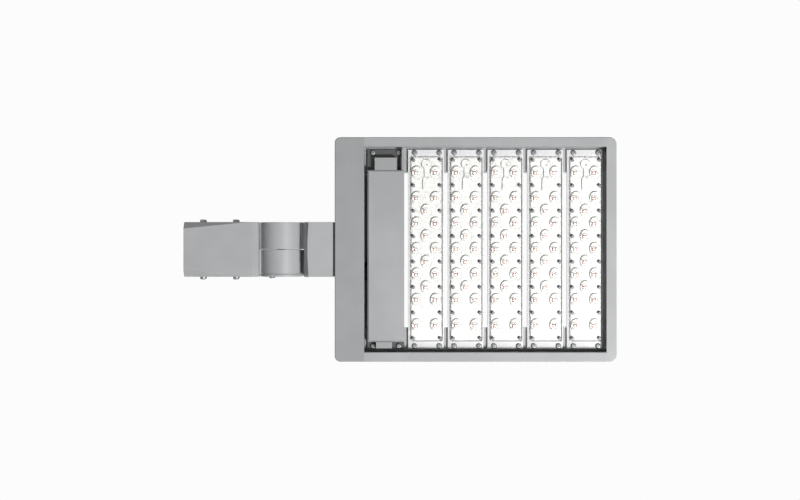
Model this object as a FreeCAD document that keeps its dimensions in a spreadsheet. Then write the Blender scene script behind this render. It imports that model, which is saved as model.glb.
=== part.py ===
"""Shoebox area light: an LED head with five lens bars on a tilting slip fitter.

Frame: millimetres, origin at the centre of the slip fitter's bore mouth, +X from the pole into the
lamp, +Z up, lenses facing -Z. The head tilts about the knuckle's axis, which lies along Y.
"""
import FreeCAD, Part
import math
import os
from types import SimpleNamespace

import Sketcher

Vector = FreeCAD.Vector
Rotation = FreeCAD.Rotation

# Driving dimensions in millimetres (counts where the name says so).
DRIVING = {
    # slip fitter
    "tenon_diameter": 60.3,          # the pole tenon it slips over
    "tenon_clearance": 0.35,         # radial
    "bore_depth": 95.0,
    "bore_end_wall": 8.1,
    "fitter_width": 76.0,
    "fitter_height": 72.0,
    "facet_width": 9.0,              # corner facets at the mouth, tapering to nothing
    "facet_run": 92.0,
    "fitter_slope_run": 7.6,         # bevel at the knuckle end
    "fitter_slope_drop": 9.0,
    "slope_bow": 1.6,                # how far the bevel's crease bows in plan
    "clamp_screw_inset": 23.3,
    "clamp_screw_pitch": 46.1,
    "clamp_tip_clearance": 0.3,
    "wire_hole_diameter": 11.0,
    "grommet_wall": 1.5,
    "grommet_collar": 2.0,
    "grommet_recess": 2.0,           # seat of its collar, below the bore's end
    # knuckle
    "knuckle_radius": 28.6,
    "fitter_gap": 1.5,               # the neck's lug to the fitter's end
    "neck_gap": 4.2,                 # the fitter's lug to the neck's end
    "neck_lip_base": 12.0,           # lip over that gap, above the knuckle's axis
    "neck_lip_height": 8.0,
    "neck_lip_clearance": 1.5,       # lip to the lug, radial
    "seam_gap": 0.8,                 # between the two lugs
    "web_top": 20.0,                 # web behind each lug, above the axis
    "web_drop": 9.0,                 # and below it
    "tooth_count": 36,
    "tooth_width": 2.2,
    "tooth_inner_radius": 14.5,
    "tooth_ring_inset": 4.6,         # from the lug's rim
    "chamber_radius": 13.0,          # wire chamber round the pivot bolt
    "chamber_depth": 12.0,
    "pivot_clearance": 0.08,         # radial running fit
    "washer_diameter": 21.0,
    "washer_thickness": 2.5,
    "washer_gap": 0.3,
    "counterbore_clearance": 0.5,
    "counterbore_depth": 13.5,
    "nut_width": 18.0,
    "nut_thickness": 10.0,
    "nut_pocket_clearance": 0.15,
    "nut_recess": 1.0,
    "seal_inset": 2.3,               # from the lug's rim to the seal's middle
    "seal_section": 3.0,
    "seal_gap": 0.3,
    "cover_thickness": 3.4,
    "cover_groove": 0.6,
    "cover_spigot_inset": 2.6,
    "cover_screw_room": 0.9,         # between the cover's screw and the nut
    "notch_width": 2.4,
    "notch_depth": 4.6,
    # neck
    "neck_height": 68.0,
    "neck_length": 41.3,
    "neck_slope_run": 5.4,
    "neck_slope_drop": 12.0,
    "neck_wall": 14.0,
    "neck_cavity_width": 44.0,
    "neck_cavity_height": 36.0,
    "neck_bolt_spacing_wide": 58.0,
    "neck_bolt_spacing_high": 48.0,
    "lock_screw_inset": 3.4,
    "neck_gasket_thickness": 2.0,
    "neck_gasket_inset": 0.9,
    # frame
    "face_drop": 40.0,               # knuckle axis down to the frame's lower face
    "frame_depth": 85.0,
    "rear_cap_length": 40.8,
    "front_cap_length": 13.8,
    "cap_wall": 4.0,
    "cap_back_wall": 5.0,
    "rear_corner_radius": 8.0,
    "front_corner_radius": 10.0,
    "edge_radius": 1.5,
    "rail_width": 13.3,
    "rail_wall": 2.5,
    "rail_lip": 1.0,
    "port_inset": 8.0,               # screw port centre from the rail's lower or upper face
    "port_block": 13.5,
    "flange_width": 33.3,
    "flange_thickness": 4.0,
    "flange_depth": 22.0,            # lower face of the frame up to the flange
    "upstand_height": 40.0,          # wall that stands on the flange's inner edge
    "upstand_thickness": 2.0,
    "ledge_width": 7.8,
    "ledge_thickness": 3.0,
    "cap_screw_seat": 7.0,
    # LED modules
    "module_count": 5,
    "module_width": 49.8,
    "module_gap": 5.4,
    "base_shift": 1.4,               # bar's middle from its lenses' middle, towards the pole
    "module_end_gap": 3.3,
    "module_front_gap": 3.4,
    "end_strip": 10.9,
    "base_thickness": 5.0,
    "fin_count": 7,
    "fin_inset": 5.2,                # outer fins from the bar's sides
    "fin_thickness": 2.0,
    "fin_height": 44.0,
    "fin_end_gap": 2.5,
    "end_screw_inset": 4.2,
    "end_screw_edge": 7.7,
    "lens_row_count": 7,
    "lens_row_pitch": 35.33,
    "lens_column_spacing": 26.0,
    "lens_width": 15.0,
    "lens_length": 18.3,
    "lens_height": 5.2,
    "plate_width": 43.5,
    "plate_thickness": 3.0,
    "plate_end_margin": 3.95,
    "plate_corner_radius": 2.0,
    "lens_screw_edge": 3.05,
    "board_thickness": 1.6,
    "gasket_width": 1.1,
    "gasket_fit": 0.15,
    "led_width": 5.0,
    "led_height": 0.9,
    "led_shift": 1.5,                # LEDs sit nearer the pole than their lenses
    "led_cavity_radius": 3.9,
    "led_cavity_depth": 2.2,
    # wire moulding on each lens plate
    "keyhole_radius": 7.2,
    "keyhole_height": 2.6,
    "keyhole_bevel": 2.5,
    "keyhole_neck": 6.4,
    "keyhole_neck_end": 17.4,
    "keyhole_foot": 11.0,
    "keyhole_foot_start": 20.9,
    "keyhole_end": 37.6,
    # module leads and wireway
    "gland_diameter": 9.0,
    "gland_room": 6.9,               # from the upstand to the glands' middle
    "gland_collar": 2.0,
    "gland_brim": 1.5,
    "lead_diameter": 2.4,
    "lead_clearance": 0.4,
    "lead_bend_radius": 7.2,
    "lead_rise": 0.5,
    "lead_pitch": 2.9,
    "lead_turn_pitch": 6.0,
    "wireway_sheet": 1.2,
    "wireway_end_gap": 0.5,
    "wireway_screw_count": 5,
    "wireway_screw_inset": 20.0,
    # driver unit
    "driver_gap": 4.2,
    "driver_width": 51.1,
    "driver_module_gap": 5.3,
    "driver_cover_inset": 3.0,       # cover's lower face above the frame's lower face
    "driver_cover_wall": 2.6,
    "driver_cover_bevel": 2.0,
    "cover_start_inset": 28.7,
    "cover_end_inset": 10.9,
    "tray_rim": 5.5,
    "block_width": 30.6,
    "block_inset": 11.6,
    "block_rise": 2.0,
    "block_gap": 0.6,
    "plain_block_width": 22.1,
    "plain_block_length": 8.6,
    "plain_block_shift": 2.5,
    "cheek_width": 8.5,
    "cheek_land": 3.5,
    "cheek_radius": 14.0,
    "case_inset": 0.55,
    "case_end_gap": 2.5,
    "case_height": 56.0,
    "case_wall": 2.0,
    "case_roof": 3.5,
    "case_lip_gap": 0.1,             # roof's lip, over the gap at the rear cap, to that cap
    "case_lip_thickness": 2.0,
    "case_lip_overhang": 7.0,        # past the case at both ends of that gap
    "case_gasket_thickness": 1.0,
    "case_screw_spacing": 34.0,
    "case_post": 5.5,
    "case_post_margin": 0.5,
    "case_post_end": 1.0,
    "supply_side_gap": 3.0,          # beside the LED driver itself
    "supply_end_gap": 4.0,
    "supply_height": 34.0,
    "supply_ear": 8.0,
    "supply_ear_thickness": 2.5,
    "surge_width": 34.0,
    "surge_length": 28.0,
    "surge_height": 24.0,
    "surge_end_gap": 4.5,
    "terminal_width": 36.0,
    "terminal_length": 14.0,
    "terminal_height": 18.0,
    "terminal_port_depth": 5.0,
    "terminal_setback": 2.0,
    "lead_gland_width": 34.0,
    "lead_gland_height": 18.0,
    "power_gland_y": 30.0,
    "power_gland_z": 10.0,
    "power_gland_thread": 16.0,
    "power_gland_nut": 22.0,
    "power_gland_hole": 8.0,
    "power_gland_length": 11.0,
    "power_gland_lip": 2.0,
    "clip_width": 12.0,
    "clip_sheet": 1.2,
    "clip_hook": 2.0,
    "clip_foot": 6.0,
    "clip_fit": 0.3,
    "clip_spacing": 150.0,
    # fasteners: thread, head and socket sizes, and lengths under the head
    "thread_clearance": 0.05,
    "bolt_clearance": 0.25,
    "dome_crown_share": 0.62,        # of a domed head's width that is flat on top
    "dome_brim_share": 0.35,         # of a domed head's height that stands straight
    "flat_rim_share": 0.94,          # of a flat head's width and height inside its bevel
    "socket_floor_share": 0.4,       # of a head's height left under its socket
    "tip_bevel_share": 0.12,         # of a thread's width
    "blind_room": 1.0,               # past a small screw's tip in its hole
    "clamp_thread": 6.0,
    "clamp_head": 10.0,
    "clamp_head_height": 4.2,
    "clamp_socket": 4.0,
    "pivot_thread": 12.0,
    "pivot_head": 18.0,
    "pivot_head_height": 8.0,
    "pivot_socket": 8.0,
    "knuckle_cover_thread": 4.0,
    "knuckle_cover_head": 9.0,
    "knuckle_cover_head_height": 2.5,
    "knuckle_cover_socket": 2.5,
    "knuckle_cover_screw_length": 12.0,
    "lock_thread": 5.0,
    "lock_head": 6.0,
    "lock_head_height": 1.0,
    "lock_socket": 2.5,
    "lock_length": 12.0,
    "neck_bolt_thread": 8.0,
    "neck_bolt_head": 13.0,
    "neck_bolt_head_height": 8.0,
    "neck_bolt_socket": 6.0,
    "neck_bolt_length": 20.0,
    "neck_bolt_room": 2.0,
    "cap_screw_thread": 5.0,
    "cap_screw_head": 8.5,
    "cap_screw_head_height": 5.0,
    "cap_screw_socket": 4.0,
    "cap_screw_length": 20.0,
    "cap_screw_play": 0.5,
    "module_screw_thread": 4.0,
    "module_screw_head": 7.6,
    "module_screw_head_height": 2.6,
    "module_screw_socket": 2.5,
    "lens_screw_thread": 2.5,
    "lens_screw_head": 4.8,
    "lens_screw_head_height": 1.6,
    "lens_screw_socket": 1.5,
    "lens_screw_bite": 4.0,
    "lens_screw_play": 0.4,
    "small_thread": 3.0,
    "small_head": 5.5,
    "small_head_height": 1.8,
    "small_socket": 2.0,
    "small_bite": 2.4,
    "case_screw_bite": 6.0,
}


class Size:
    """A length that knows both its value and the sheet expression it comes from."""

    def __init__(self, value, text):
        self.value = value
        self.text = text

    def __add__(self, other):
        other = as_size(other)
        return Size(self.value + other.value, f"({self.text} + {other.text})")

    def __sub__(self, other):
        other = as_size(other)
        return Size(self.value - other.value, f"({self.text} - {other.text})")

    def __mul__(self, other):
        other = as_size(other)
        return Size(self.value * other.value, f"({self.text} * {other.text})")

    def __truediv__(self, other):
        other = as_size(other)
        return Size(self.value / other.value, f"({self.text} / {other.text})")

    def __neg__(self):
        return Size(-self.value, f"(-1 * {self.text})")

    __radd__ = __add__
    __rmul__ = __mul__

    def __rsub__(self, other):
        return as_size(other) - self


def as_size(thing):
    """Return thing as a Size; a plain number stays a constant."""
    return thing if isinstance(thing, Size) else Size(float(thing), f"{float(thing):.6g}")


def make_sheet(doc):
    """Write the driving dimensions into a spreadsheet and return them as named Sizes."""
    sheet = doc.addObject("Spreadsheet::Sheet", "sizes")
    sizes = SimpleNamespace()
    for row, (name, value) in enumerate(DRIVING.items(), start=1):
        sheet.set(f"A{row}", name)
        sheet.set(f"B{row}", str(value))
        sheet.setAlias(f"B{row}", name)
        setattr(sizes, name, Size(float(value), f"sizes.{name}"))
    doc.recompute()
    return sizes


doc = FreeCAD.newDocument("area_light")
s = make_sheet(doc)
places = SimpleNamespace()
nodes = []


def work_out_places(p):
    """Name the places and widths that several sub-parts share."""
    p.bore_radius = s.tenon_diameter / 2 + s.tenon_clearance
    p.half_width = s.fitter_width / 2
    p.fitter_top = s.fitter_height / 2
    p.fitter_length = s.bore_depth + s.bore_end_wall
    p.knuckle_x = p.fitter_length + s.fitter_gap + s.knuckle_radius
    p.seam = s.seam_gap / 2
    p.seal_radius = s.knuckle_radius - s.seal_inset
    p.cover_screw_offset = (s.nut_width / math.sqrt(3) + s.knuckle_cover_thread / 2
                            + s.cover_screw_room)
    p.lug_end = p.half_width - s.cover_thickness - s.cover_groove
    p.wire_y = p.seam + s.chamber_depth / 2
    p.neck_end_x = p.knuckle_x + s.knuckle_radius + s.neck_gap
    lip_radius = s.knuckle_radius + s.neck_lip_clearance
    reach = lip_radius * lip_radius - s.neck_lip_base * s.neck_lip_base
    p.neck_lip_x = Size(math.sqrt(reach.value), f"sqrt({reach.text})")
    p.neck_flange_x = p.neck_end_x + s.neck_length
    p.frame_x = p.neck_flange_x + s.neck_gasket_thickness
    p.rail_x = p.frame_x + s.rear_cap_length
    p.driver_x = p.rail_x + s.driver_gap + s.driver_width / 2
    p.pitch = s.module_width + s.module_gap
    p.bar_start = -s.module_width / 2 - s.base_shift
    p.bar_end = s.module_width / 2 - s.base_shift
    p.first_module_x = p.driver_x + s.driver_width / 2 + s.driver_module_gap - p.bar_start
    p.last_module_x = p.first_module_x + (s.module_count - 1) * p.pitch
    p.rail_end_x = p.last_module_x + p.bar_end + s.module_front_gap
    p.rail_length = p.rail_end_x - p.rail_x
    p.plate_length = s.lens_row_count * s.lens_row_pitch + 2 * s.plate_end_margin
    p.module_half = p.plate_length / 2 + s.end_strip
    p.inner_half = p.module_half + s.module_end_gap
    p.frame_half = p.inner_half + s.rail_width
    p.flange_edge = p.inner_half - s.flange_width
    p.face_z = -s.face_drop
    p.top_z = s.frame_depth - s.face_drop
    p.flange_z = p.face_z + s.flange_depth
    p.flange_top = p.flange_z + s.flange_thickness
    p.base_z = p.flange_z - s.base_thickness
    p.board_z = p.base_z - s.board_thickness
    p.plate_z = p.board_z - s.plate_thickness
    p.ledge_z = p.flange_top + s.upstand_height
    p.port_z = (p.face_z + s.port_inset, p.top_z - s.port_inset)
    p.rail_middle = p.inner_half + s.rail_width / 2
    p.end_screw_y = p.module_half - s.end_screw_inset
    p.end_screw_x = s.module_width / 2 - s.end_screw_edge
    p.lens_screw_x = s.plate_width / 2 - s.lens_screw_edge
    p.board_width = s.plate_width - 2 * s.gasket_width - 2 * s.gasket_fit
    p.board_length = p.plate_length - 2 * s.gasket_width - 2 * s.gasket_fit
    p.keyhole_y = -(p.flange_edge + s.upstand_thickness + s.gland_room)
    p.cover_z = p.face_z + s.driver_cover_inset
    p.cover_start = s.cover_start_inset - p.module_half
    p.cover_end = p.module_half - s.cover_end_inset
    p.cover_rim_z = p.base_z - s.case_gasket_thickness
    p.case_z = p.flange_z + s.case_gasket_thickness
    p.case_width = s.driver_width - 2 * s.case_inset
    p.case_half = p.flange_edge - s.case_end_gap
    p.lip_half = p.case_half + s.case_lip_overhang
    p.post_start = p.case_half - s.case_wall - s.case_post
    p.tray_opening_half = p.post_start - s.case_post_margin
    p.roof_z = p.case_z + s.case_height - s.case_roof
    p.tray_opening = s.driver_width / 2 - s.tray_rim
    p.tray_screw_x = s.driver_width / 2 - s.end_screw_edge
    p.lead_gland_y = p.keyhole_y + s.lead_bend_radius + s.thread_clearance
    p.terminal_y = s.case_wall + s.terminal_setback - p.case_half
    p.supply_start = p.terminal_y + s.terminal_length + s.supply_end_gap
    p.surge_y = p.post_start - s.surge_end_gap - s.surge_length
    p.supply_end = p.surge_y - s.supply_end_gap
    p.supply_width = p.case_width - 2 * s.case_wall - 2 * s.supply_side_gap
    p.neck_top = s.neck_height / 2
    p.wireway_screw_y = -(p.inner_half - s.ledge_width / 2)
    p.seal_floor = p.seam + s.seal_section - s.seam_gap + s.seal_gap
    p.washer_y = s.counterbore_depth - p.half_width - s.washer_gap - s.washer_thickness


work_out_places(places)
p = places


def bind(thing, path, size):
    """Bind one property of a document object to a Size."""
    thing.setExpression(path, as_size(size).text)


def count_of(size):
    """Return a count from the sheet as a whole number."""
    return int(round(size.value))


class Outline:
    """A closed outline through corners; arcs maps a corner's index to the signed radius after it.

    A positive radius turns anticlockwise from its corner to the next one.
    """

    def __init__(self, corners, arcs=None):
        self.corners = [(as_size(x), as_size(y)) for x, y in corners]
        self.arcs = arcs or {}

    def draw(self, sketch):
        first = sketch.GeometryCount
        count = len(self.corners)
        spots = [Vector(x.value, y.value, 0) for x, y in self.corners]
        heads, tails = [], []
        for index in range(count):
            start, end = spots[index], spots[(index + 1) % count]
            if index not in self.arcs:
                sketch.addGeometry(Part.LineSegment(start, end))
                ends = (1, 2)
            else:
                radius = as_size(self.arcs[index]).value
                sketch.addGeometry(arc_between(start, end, radius))
                ends = (1, 2) if radius > 0 else (2, 1)
            heads.append((first + index, ends[0]))
            tails.append((first + index, ends[1]))
        constraints, bindings = [], []
        number = sketch.ConstraintCount
        for index in range(count):
            follower = heads[(index + 1) % count]
            constraints.append(Sketcher.Constraint("Coincident", *tails[index], *follower))
            for kind, size in zip(("DistanceX", "DistanceY"), self.corners[index]):
                constraints.append(Sketcher.Constraint(kind, -1, 1, *heads[index], size.value))
                bindings.append((number + len(constraints) - 1, size))
            if index in self.arcs:
                radius = as_size(self.arcs[index])
                size = radius if radius.value > 0 else -radius
                constraints.append(Sketcher.Constraint("Radius", first + index, size.value))
                bindings.append((number + len(constraints) - 1, size))
        sketch.addConstraint(constraints)
        for number, size in bindings:
            bind(sketch, f"Constraints[{number}]", size)


def arc_between(start, end, radius):
    """Return the shorter arc from start to end; a negative radius turns clockwise."""
    if radius < 0:
        start, end = end, start
    chord = end - start
    middle = (start + end) / 2
    left = Vector(-chord.y, chord.x, 0)
    left.normalize()
    height = math.sqrt(max(radius ** 2 - (chord.Length / 2) ** 2, 0.0))
    centre = middle + left * height
    low = math.atan2(start.y - centre.y, start.x - centre.x)
    high = math.atan2(end.y - centre.y, end.x - centre.x)
    return Part.ArcOfCircle(Part.Circle(centre, Vector(0, 0, 1), abs(radius)), low, high)


class Circle:
    """A circle of a sketch."""

    def __init__(self, x, y, radius):
        self.x, self.y, self.radius = as_size(x), as_size(y), as_size(radius)

    def draw(self, sketch):
        centre = Vector(self.x.value, self.y.value, 0)
        index = sketch.addGeometry(Part.Circle(centre, Vector(0, 0, 1), self.radius.value))
        number = sketch.ConstraintCount
        sketch.addConstraint([
            Sketcher.Constraint("DistanceX", -1, 1, index, 3, self.x.value),
            Sketcher.Constraint("DistanceY", -1, 1, index, 3, self.y.value),
            Sketcher.Constraint("Radius", index, self.radius.value),
        ])
        for step, size in enumerate((self.x, self.y, self.radius)):
            bind(sketch, f"Constraints[{number + step}]", size)


def box(low_x, high_x, low_y, high_y):
    """Return a rectangle's outline."""
    return Outline([(low_x, low_y), (high_x, low_y), (high_x, high_y), (low_x, high_y)])


def centred_box(width, height):
    """Return a rectangle's outline centred on the sketch's origin."""
    return box(-width / 2, width / 2, -height / 2, height / 2)


def hexagon(x, y, width):
    """Return a hexagon's outline, width across flats along the sketch's second axis."""
    corner = width / math.sqrt(3)
    return Outline([(x + corner * round(math.cos(a), 9), y + corner * round(math.sin(a), 9))
                    for a in (math.pi / 3 * k for k in range(6))])


class Piece:
    """A PartDesign body with the few ways in which its sub-part is cut and built up.

    Spans are given along the axis that the sketch's plane faces: Z for XY, Y for XZ, X for YZ.
    """

    def __init__(self, label, x=0, y=0, z=0, kept=True):
        self.body = doc.addObject("PartDesign::Body", label)
        self.body.Label = label
        for axis, size in zip("xyz", (x, y, z)):
            bind(self.body, f"Placement.Base.{axis}", size)
        if kept:
            nodes.append(self.body)

    def origin_feature(self, role):
        return next(f for f in self.body.Origin.OriginFeatures if f.Role == role)

    def sketch(self, plane, level, shapes, shift=(0, 0)):
        """Draw shapes on a plane at a level along its axis; shift moves the sketch's origin."""
        sketch = self.body.newObject("Sketcher::SketchObject", f"{self.body.Label}_sketch")
        sketch.AttachmentSupport = [(self.origin_feature(f"{plane}_Plane"), "")]
        sketch.MapMode = "FlatFace"
        bind(sketch, "AttachmentOffset.Base.x", shift[0])
        bind(sketch, "AttachmentOffset.Base.y", shift[1])
        level = as_size(level)
        bind(sketch, "AttachmentOffset.Base.z", -level if plane == "XZ" else level)
        for shape in shapes:
            shape.draw(sketch)
        return sketch

    def pad(self, plane, low, high, *shapes, shift=(0, 0)):
        """Add a prism of the shapes from low to high."""
        level = high if plane == "XZ" else low
        feature = self.body.newObject("PartDesign::Pad", f"{self.body.Label}_pad")
        feature.Profile = self.sketch(plane, level, shapes, shift)
        bind(feature, "Length", as_size(high) - low)
        return self.grown(feature)

    def cut(self, plane, low, high, *shapes, shift=(0, 0)):
        """Take away a prism of the shapes from low to high."""
        level = low if plane == "XZ" else high
        feature = self.body.newObject("PartDesign::Pocket", f"{self.body.Label}_pocket")
        feature.Profile = self.sketch(plane, level, shapes, shift)
        bind(feature, "Length", as_size(high) - low)
        return self.grown(feature, grows=False)

    def loft(self, kind, sections):
        """Add or take away a ruled loft; sections are (plane, level, outline)."""
        feature = self.body.newObject(f"PartDesign::{kind}Loft", f"{self.body.Label}_loft")
        sketches = [self.sketch(plane, level, [shape]) for plane, level, shape in sections]
        feature.Profile = sketches[0]
        feature.Sections = sketches[1:]
        feature.Ruled = True
        return self.grown(feature, grows=kind == "Additive")

    def spin(self, *corners):
        """Add a solid turned about the Z axis; corners are (radius, height)."""
        feature = self.body.newObject("PartDesign::Revolution", f"{self.body.Label}_turned")
        sketch = self.sketch("XZ", 0, [Outline(corners)])
        feature.Profile = sketch
        feature.ReferenceAxis = (sketch, ["V_Axis"])
        feature.Angle = 360
        return self.grown(feature)

    def dome(self, kind, x, y, z, radii):
        """Add or take away the lower half of an ellipsoid; radii are along Z, X and Y."""
        feature = self.body.newObject(f"PartDesign::{kind}Ellipsoid", f"{self.body.Label}_dome")
        feature.AttachmentSupport = [(self.origin_feature("XY_Plane"), "")]
        feature.MapMode = "FlatFace"
        for axis, size in zip("xyz", (x, y, z)):
            bind(feature, f"AttachmentOffset.Base.{axis}", size)
        for number, size in enumerate(radii, start=1):
            bind(feature, f"Radius{number}", size)
        feature.Angle1 = -90
        feature.Angle2 = 0
        feature.Angle3 = 360
        return self.grown(feature, grows=kind == "Additive")

    def mirror(self, features, plane):
        """Repeat features on the other side of an origin plane."""
        feature = self.body.newObject("PartDesign::Mirrored", f"{self.body.Label}_mirrored")
        feature.Originals = features
        feature.MirrorPlane = (self.origin_feature(f"{plane}_Plane"), [""])
        self.body.Tip = feature
        doc.recompute()
        return feature

    def row(self, features, pitch, count, side_pitch=None):
        """Repeat features count times along Y, and once more along X where side_pitch says so."""
        feature = self.body.newObject("PartDesign::LinearPattern", f"{self.body.Label}_row")
        feature.Originals = features
        feature.Direction = (self.origin_feature("Y_Axis"), [""])
        bind(feature, "Length", pitch * (count - 1))
        bind(feature, "Occurrences", count)
        if side_pitch is not None:
            feature.Direction2 = (self.origin_feature("X_Axis"), [""])
            bind(feature, "Length2", side_pitch)
            feature.Occurrences2 = 2
        feature.Refine = False
        self.body.Tip = feature
        doc.recompute()
        return feature

    def ring(self, features, axis_sketch, count):
        """Repeat features count times about the normal through a sketch's origin."""
        feature = self.body.newObject("PartDesign::PolarPattern", f"{self.body.Label}_ring")
        feature.Originals = features
        feature.Axis = (axis_sketch, ["N_Axis"])
        feature.Angle = 360
        feature.Refine = False
        bind(feature, "Occurrences", count)
        self.body.Tip = feature
        doc.recompute()
        return feature

    def soften(self, kind, size, wanted):
        """Fillet or Chamfer the edges for which wanted(middle, direction) holds."""
        base = self.body.Tip
        shape = base.Shape
        names = []
        for number, edge in enumerate(shape.Edges, start=1):
            low, high = edge.ParameterRange
            middle = edge.valueAt((low + high) / 2)
            chord = edge.valueAt(high) - edge.valueAt(low)
            if wanted(middle, chord):
                names.append(f"Edge{number}")
        feature = self.body.newObject(f"PartDesign::{kind}", f"{self.body.Label}_{kind.lower()}")
        feature.Base = (base, names)
        bind(feature, "Radius" if kind == "Fillet" else "Size", size)
        doc.recompute()
        return feature

    def grown(self, feature, grows=True):
        """Recompute and make sure that the feature added or removed material."""
        base = feature.BaseFeature
        before = base.Shape.Volume if base else 0.0
        feature.Refine = grows
        doc.recompute()
        change = feature.Shape.Volume - before
        if (change > 0) != grows or abs(change) < 1e-6:
            raise RuntimeError(f"{feature.Name} changed the volume by {change:.4f}")
        return feature


def clone(label, source, x):
    """Repeat a finished body under its own label, its origin moved to x."""
    body = doc.addObject("PartDesign::Body", label)
    body.Label = label
    base = doc.addObject("PartDesign::FeatureBase", f"{label}_base")
    base.BaseFeature = source
    body.Group = [base]
    body.Tip = base
    bind(body, "Placement.Base.x", x)
    doc.recompute()
    nodes.append(body)
    return body


def group(label, shape, spots):
    """Make one sub-part of separate copies of a shape; spots are (x, y, z, rotation)."""
    solids = []
    for x, y, z, rotation in spots:
        copy = shape.copy()
        place = Vector(as_size(x).value, as_size(y).value, as_size(z).value)
        copy.Placement = FreeCAD.Placement(place, rotation)
        solids.append(copy)
    feature = doc.addObject("Part::Feature", label)
    feature.Label = label
    feature.Shape = Part.Compound(solids)
    feature.Placement = FreeCAD.Placement()
    nodes.append(feature)
    return feature


def screw_shape(name, thread, head, head_height, length, socket, domed=True):
    """Return a screw: head above z = 0, shank below it, hexagon socket in the head."""
    screw = Piece(name, kept=False)
    crown = head / 2 * (s.dome_crown_share if domed else s.flat_rim_share)
    brim = head_height * (s.dome_brim_share if domed else s.flat_rim_share)
    tip = thread * s.tip_bevel_share
    screw.spin((0, -length), (thread / 2 - tip, -length), (thread / 2, -length + tip),
               (thread / 2, 0), (head / 2, 0), (head / 2, brim), (crown, head_height),
               (0, head_height))
    screw.cut("XY", head_height * s.socket_floor_share, head_height, hexagon(0, 0, socket))
    return screw.body.Shape


UP = Rotation()
DOWN = Rotation(Vector(1, 0, 0), 180)
TO_LEFT = Rotation(Vector(1, 0, 0), 90)      # head towards -Y
TO_RIGHT = Rotation(Vector(1, 0, 0), -90)    # head towards +Y
TO_POLE = Rotation(Vector(0, 1, 0), -90)     # head towards -X
TO_FRONT = Rotation(Vector(0, 1, 0), 90)     # head towards +X


def bowed_plan(start, end, bow, sign):
    """Return a plan outline of the fitter's width whose edge at end bows outwards by bow.

    sign is +1 where the bowed edge is on the +X side of start and -1 where it is on the other.
    """
    half = p.half_width
    corner = end - bow * sign
    radius = (half * half + bow * bow) / (bow * 2)
    if sign > 0:
        return Outline([(start, -half), (corner, -half), (corner, half), (start, half)],
                       {1: radius})
    return Outline([(corner, -half), (start, -half), (start, half), (corner, half)], {3: radius})


def straight_plan(start, end, sign):
    """Return the plain plan outline whose corners match bowed_plan's."""
    half = p.half_width
    if sign > 0:
        return Outline([(start, -half), (end, -half), (end, half), (start, half)])
    return Outline([(end, -half), (start, -half), (start, half), (end, half)])


def sloped_block(piece, start, end, half_height, run, drop, sign):
    """Build a block of the fitter's width whose end edges slope back above and below."""
    shoulder = half_height - drop
    low, high = (start, end) if sign > 0 else (end, start)
    piece.pad("XY", -shoulder, shoulder, box(low, high, -p.half_width, p.half_width))
    crease = end - run * sign
    top = piece.loft("Additive", [("XY", shoulder, straight_plan(start, end, sign)),
                                  ("XY", half_height, bowed_plan(start, crease, s.slope_bow, sign))])
    piece.mirror([top], "XY")


def knuckle_lug(piece, low, high, web_end, centre):
    """Add a round lug about the knuckle's axis and the web that joins it to its casting."""
    edges = sorted((web_end, centre), key=lambda size: size.value)
    piece.pad("XZ", low, high, Circle(0, 0, s.knuckle_radius), shift=(centre, 0))
    piece.pad("XZ", low, high, box(edges[0], edges[1], -s.web_drop, s.web_top))


def lock_teeth(piece, face, inward, centre):
    """Cut the ring of V-grooves of a lug's mating face; inward is +1 or -1 along Y."""
    edge = s.tooth_width / 2
    margin = 0.5
    corners = [(face - margin * inward, -edge - margin), (face + edge * inward, 0),
               (face - margin * inward, edge + margin)]
    groove = piece.cut("YZ", centre + s.tooth_inner_radius, centre + s.knuckle_radius - s.tooth_ring_inset,
                       Outline(corners))
    axis = piece.sketch("XZ", face, [], shift=(centre, 0))
    piece.ring([groove], axis, s.tooth_count)


def clamp_screw_places():
    """Return where the clamp screws stand along the fitter."""
    return [s.clamp_screw_inset, s.clamp_screw_inset + s.clamp_screw_pitch]


def long_facet(fitter, side, up):
    """Cut the tapering facet of one long corner, deepest at the mouth."""
    margin = 3.0

    def triangle(depth):
        return Outline([(side * (p.half_width - depth - margin), up * (p.fitter_top + margin)),
                        (side * (p.half_width + margin), up * (p.fitter_top - depth - margin)),
                        (side * (p.half_width + margin), up * (p.fitter_top + margin))])

    fitter.loft("Subtractive", [("YZ", 0, triangle(s.facet_width)),
                                ("YZ", s.facet_run, triangle(as_size(0)))])


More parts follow.
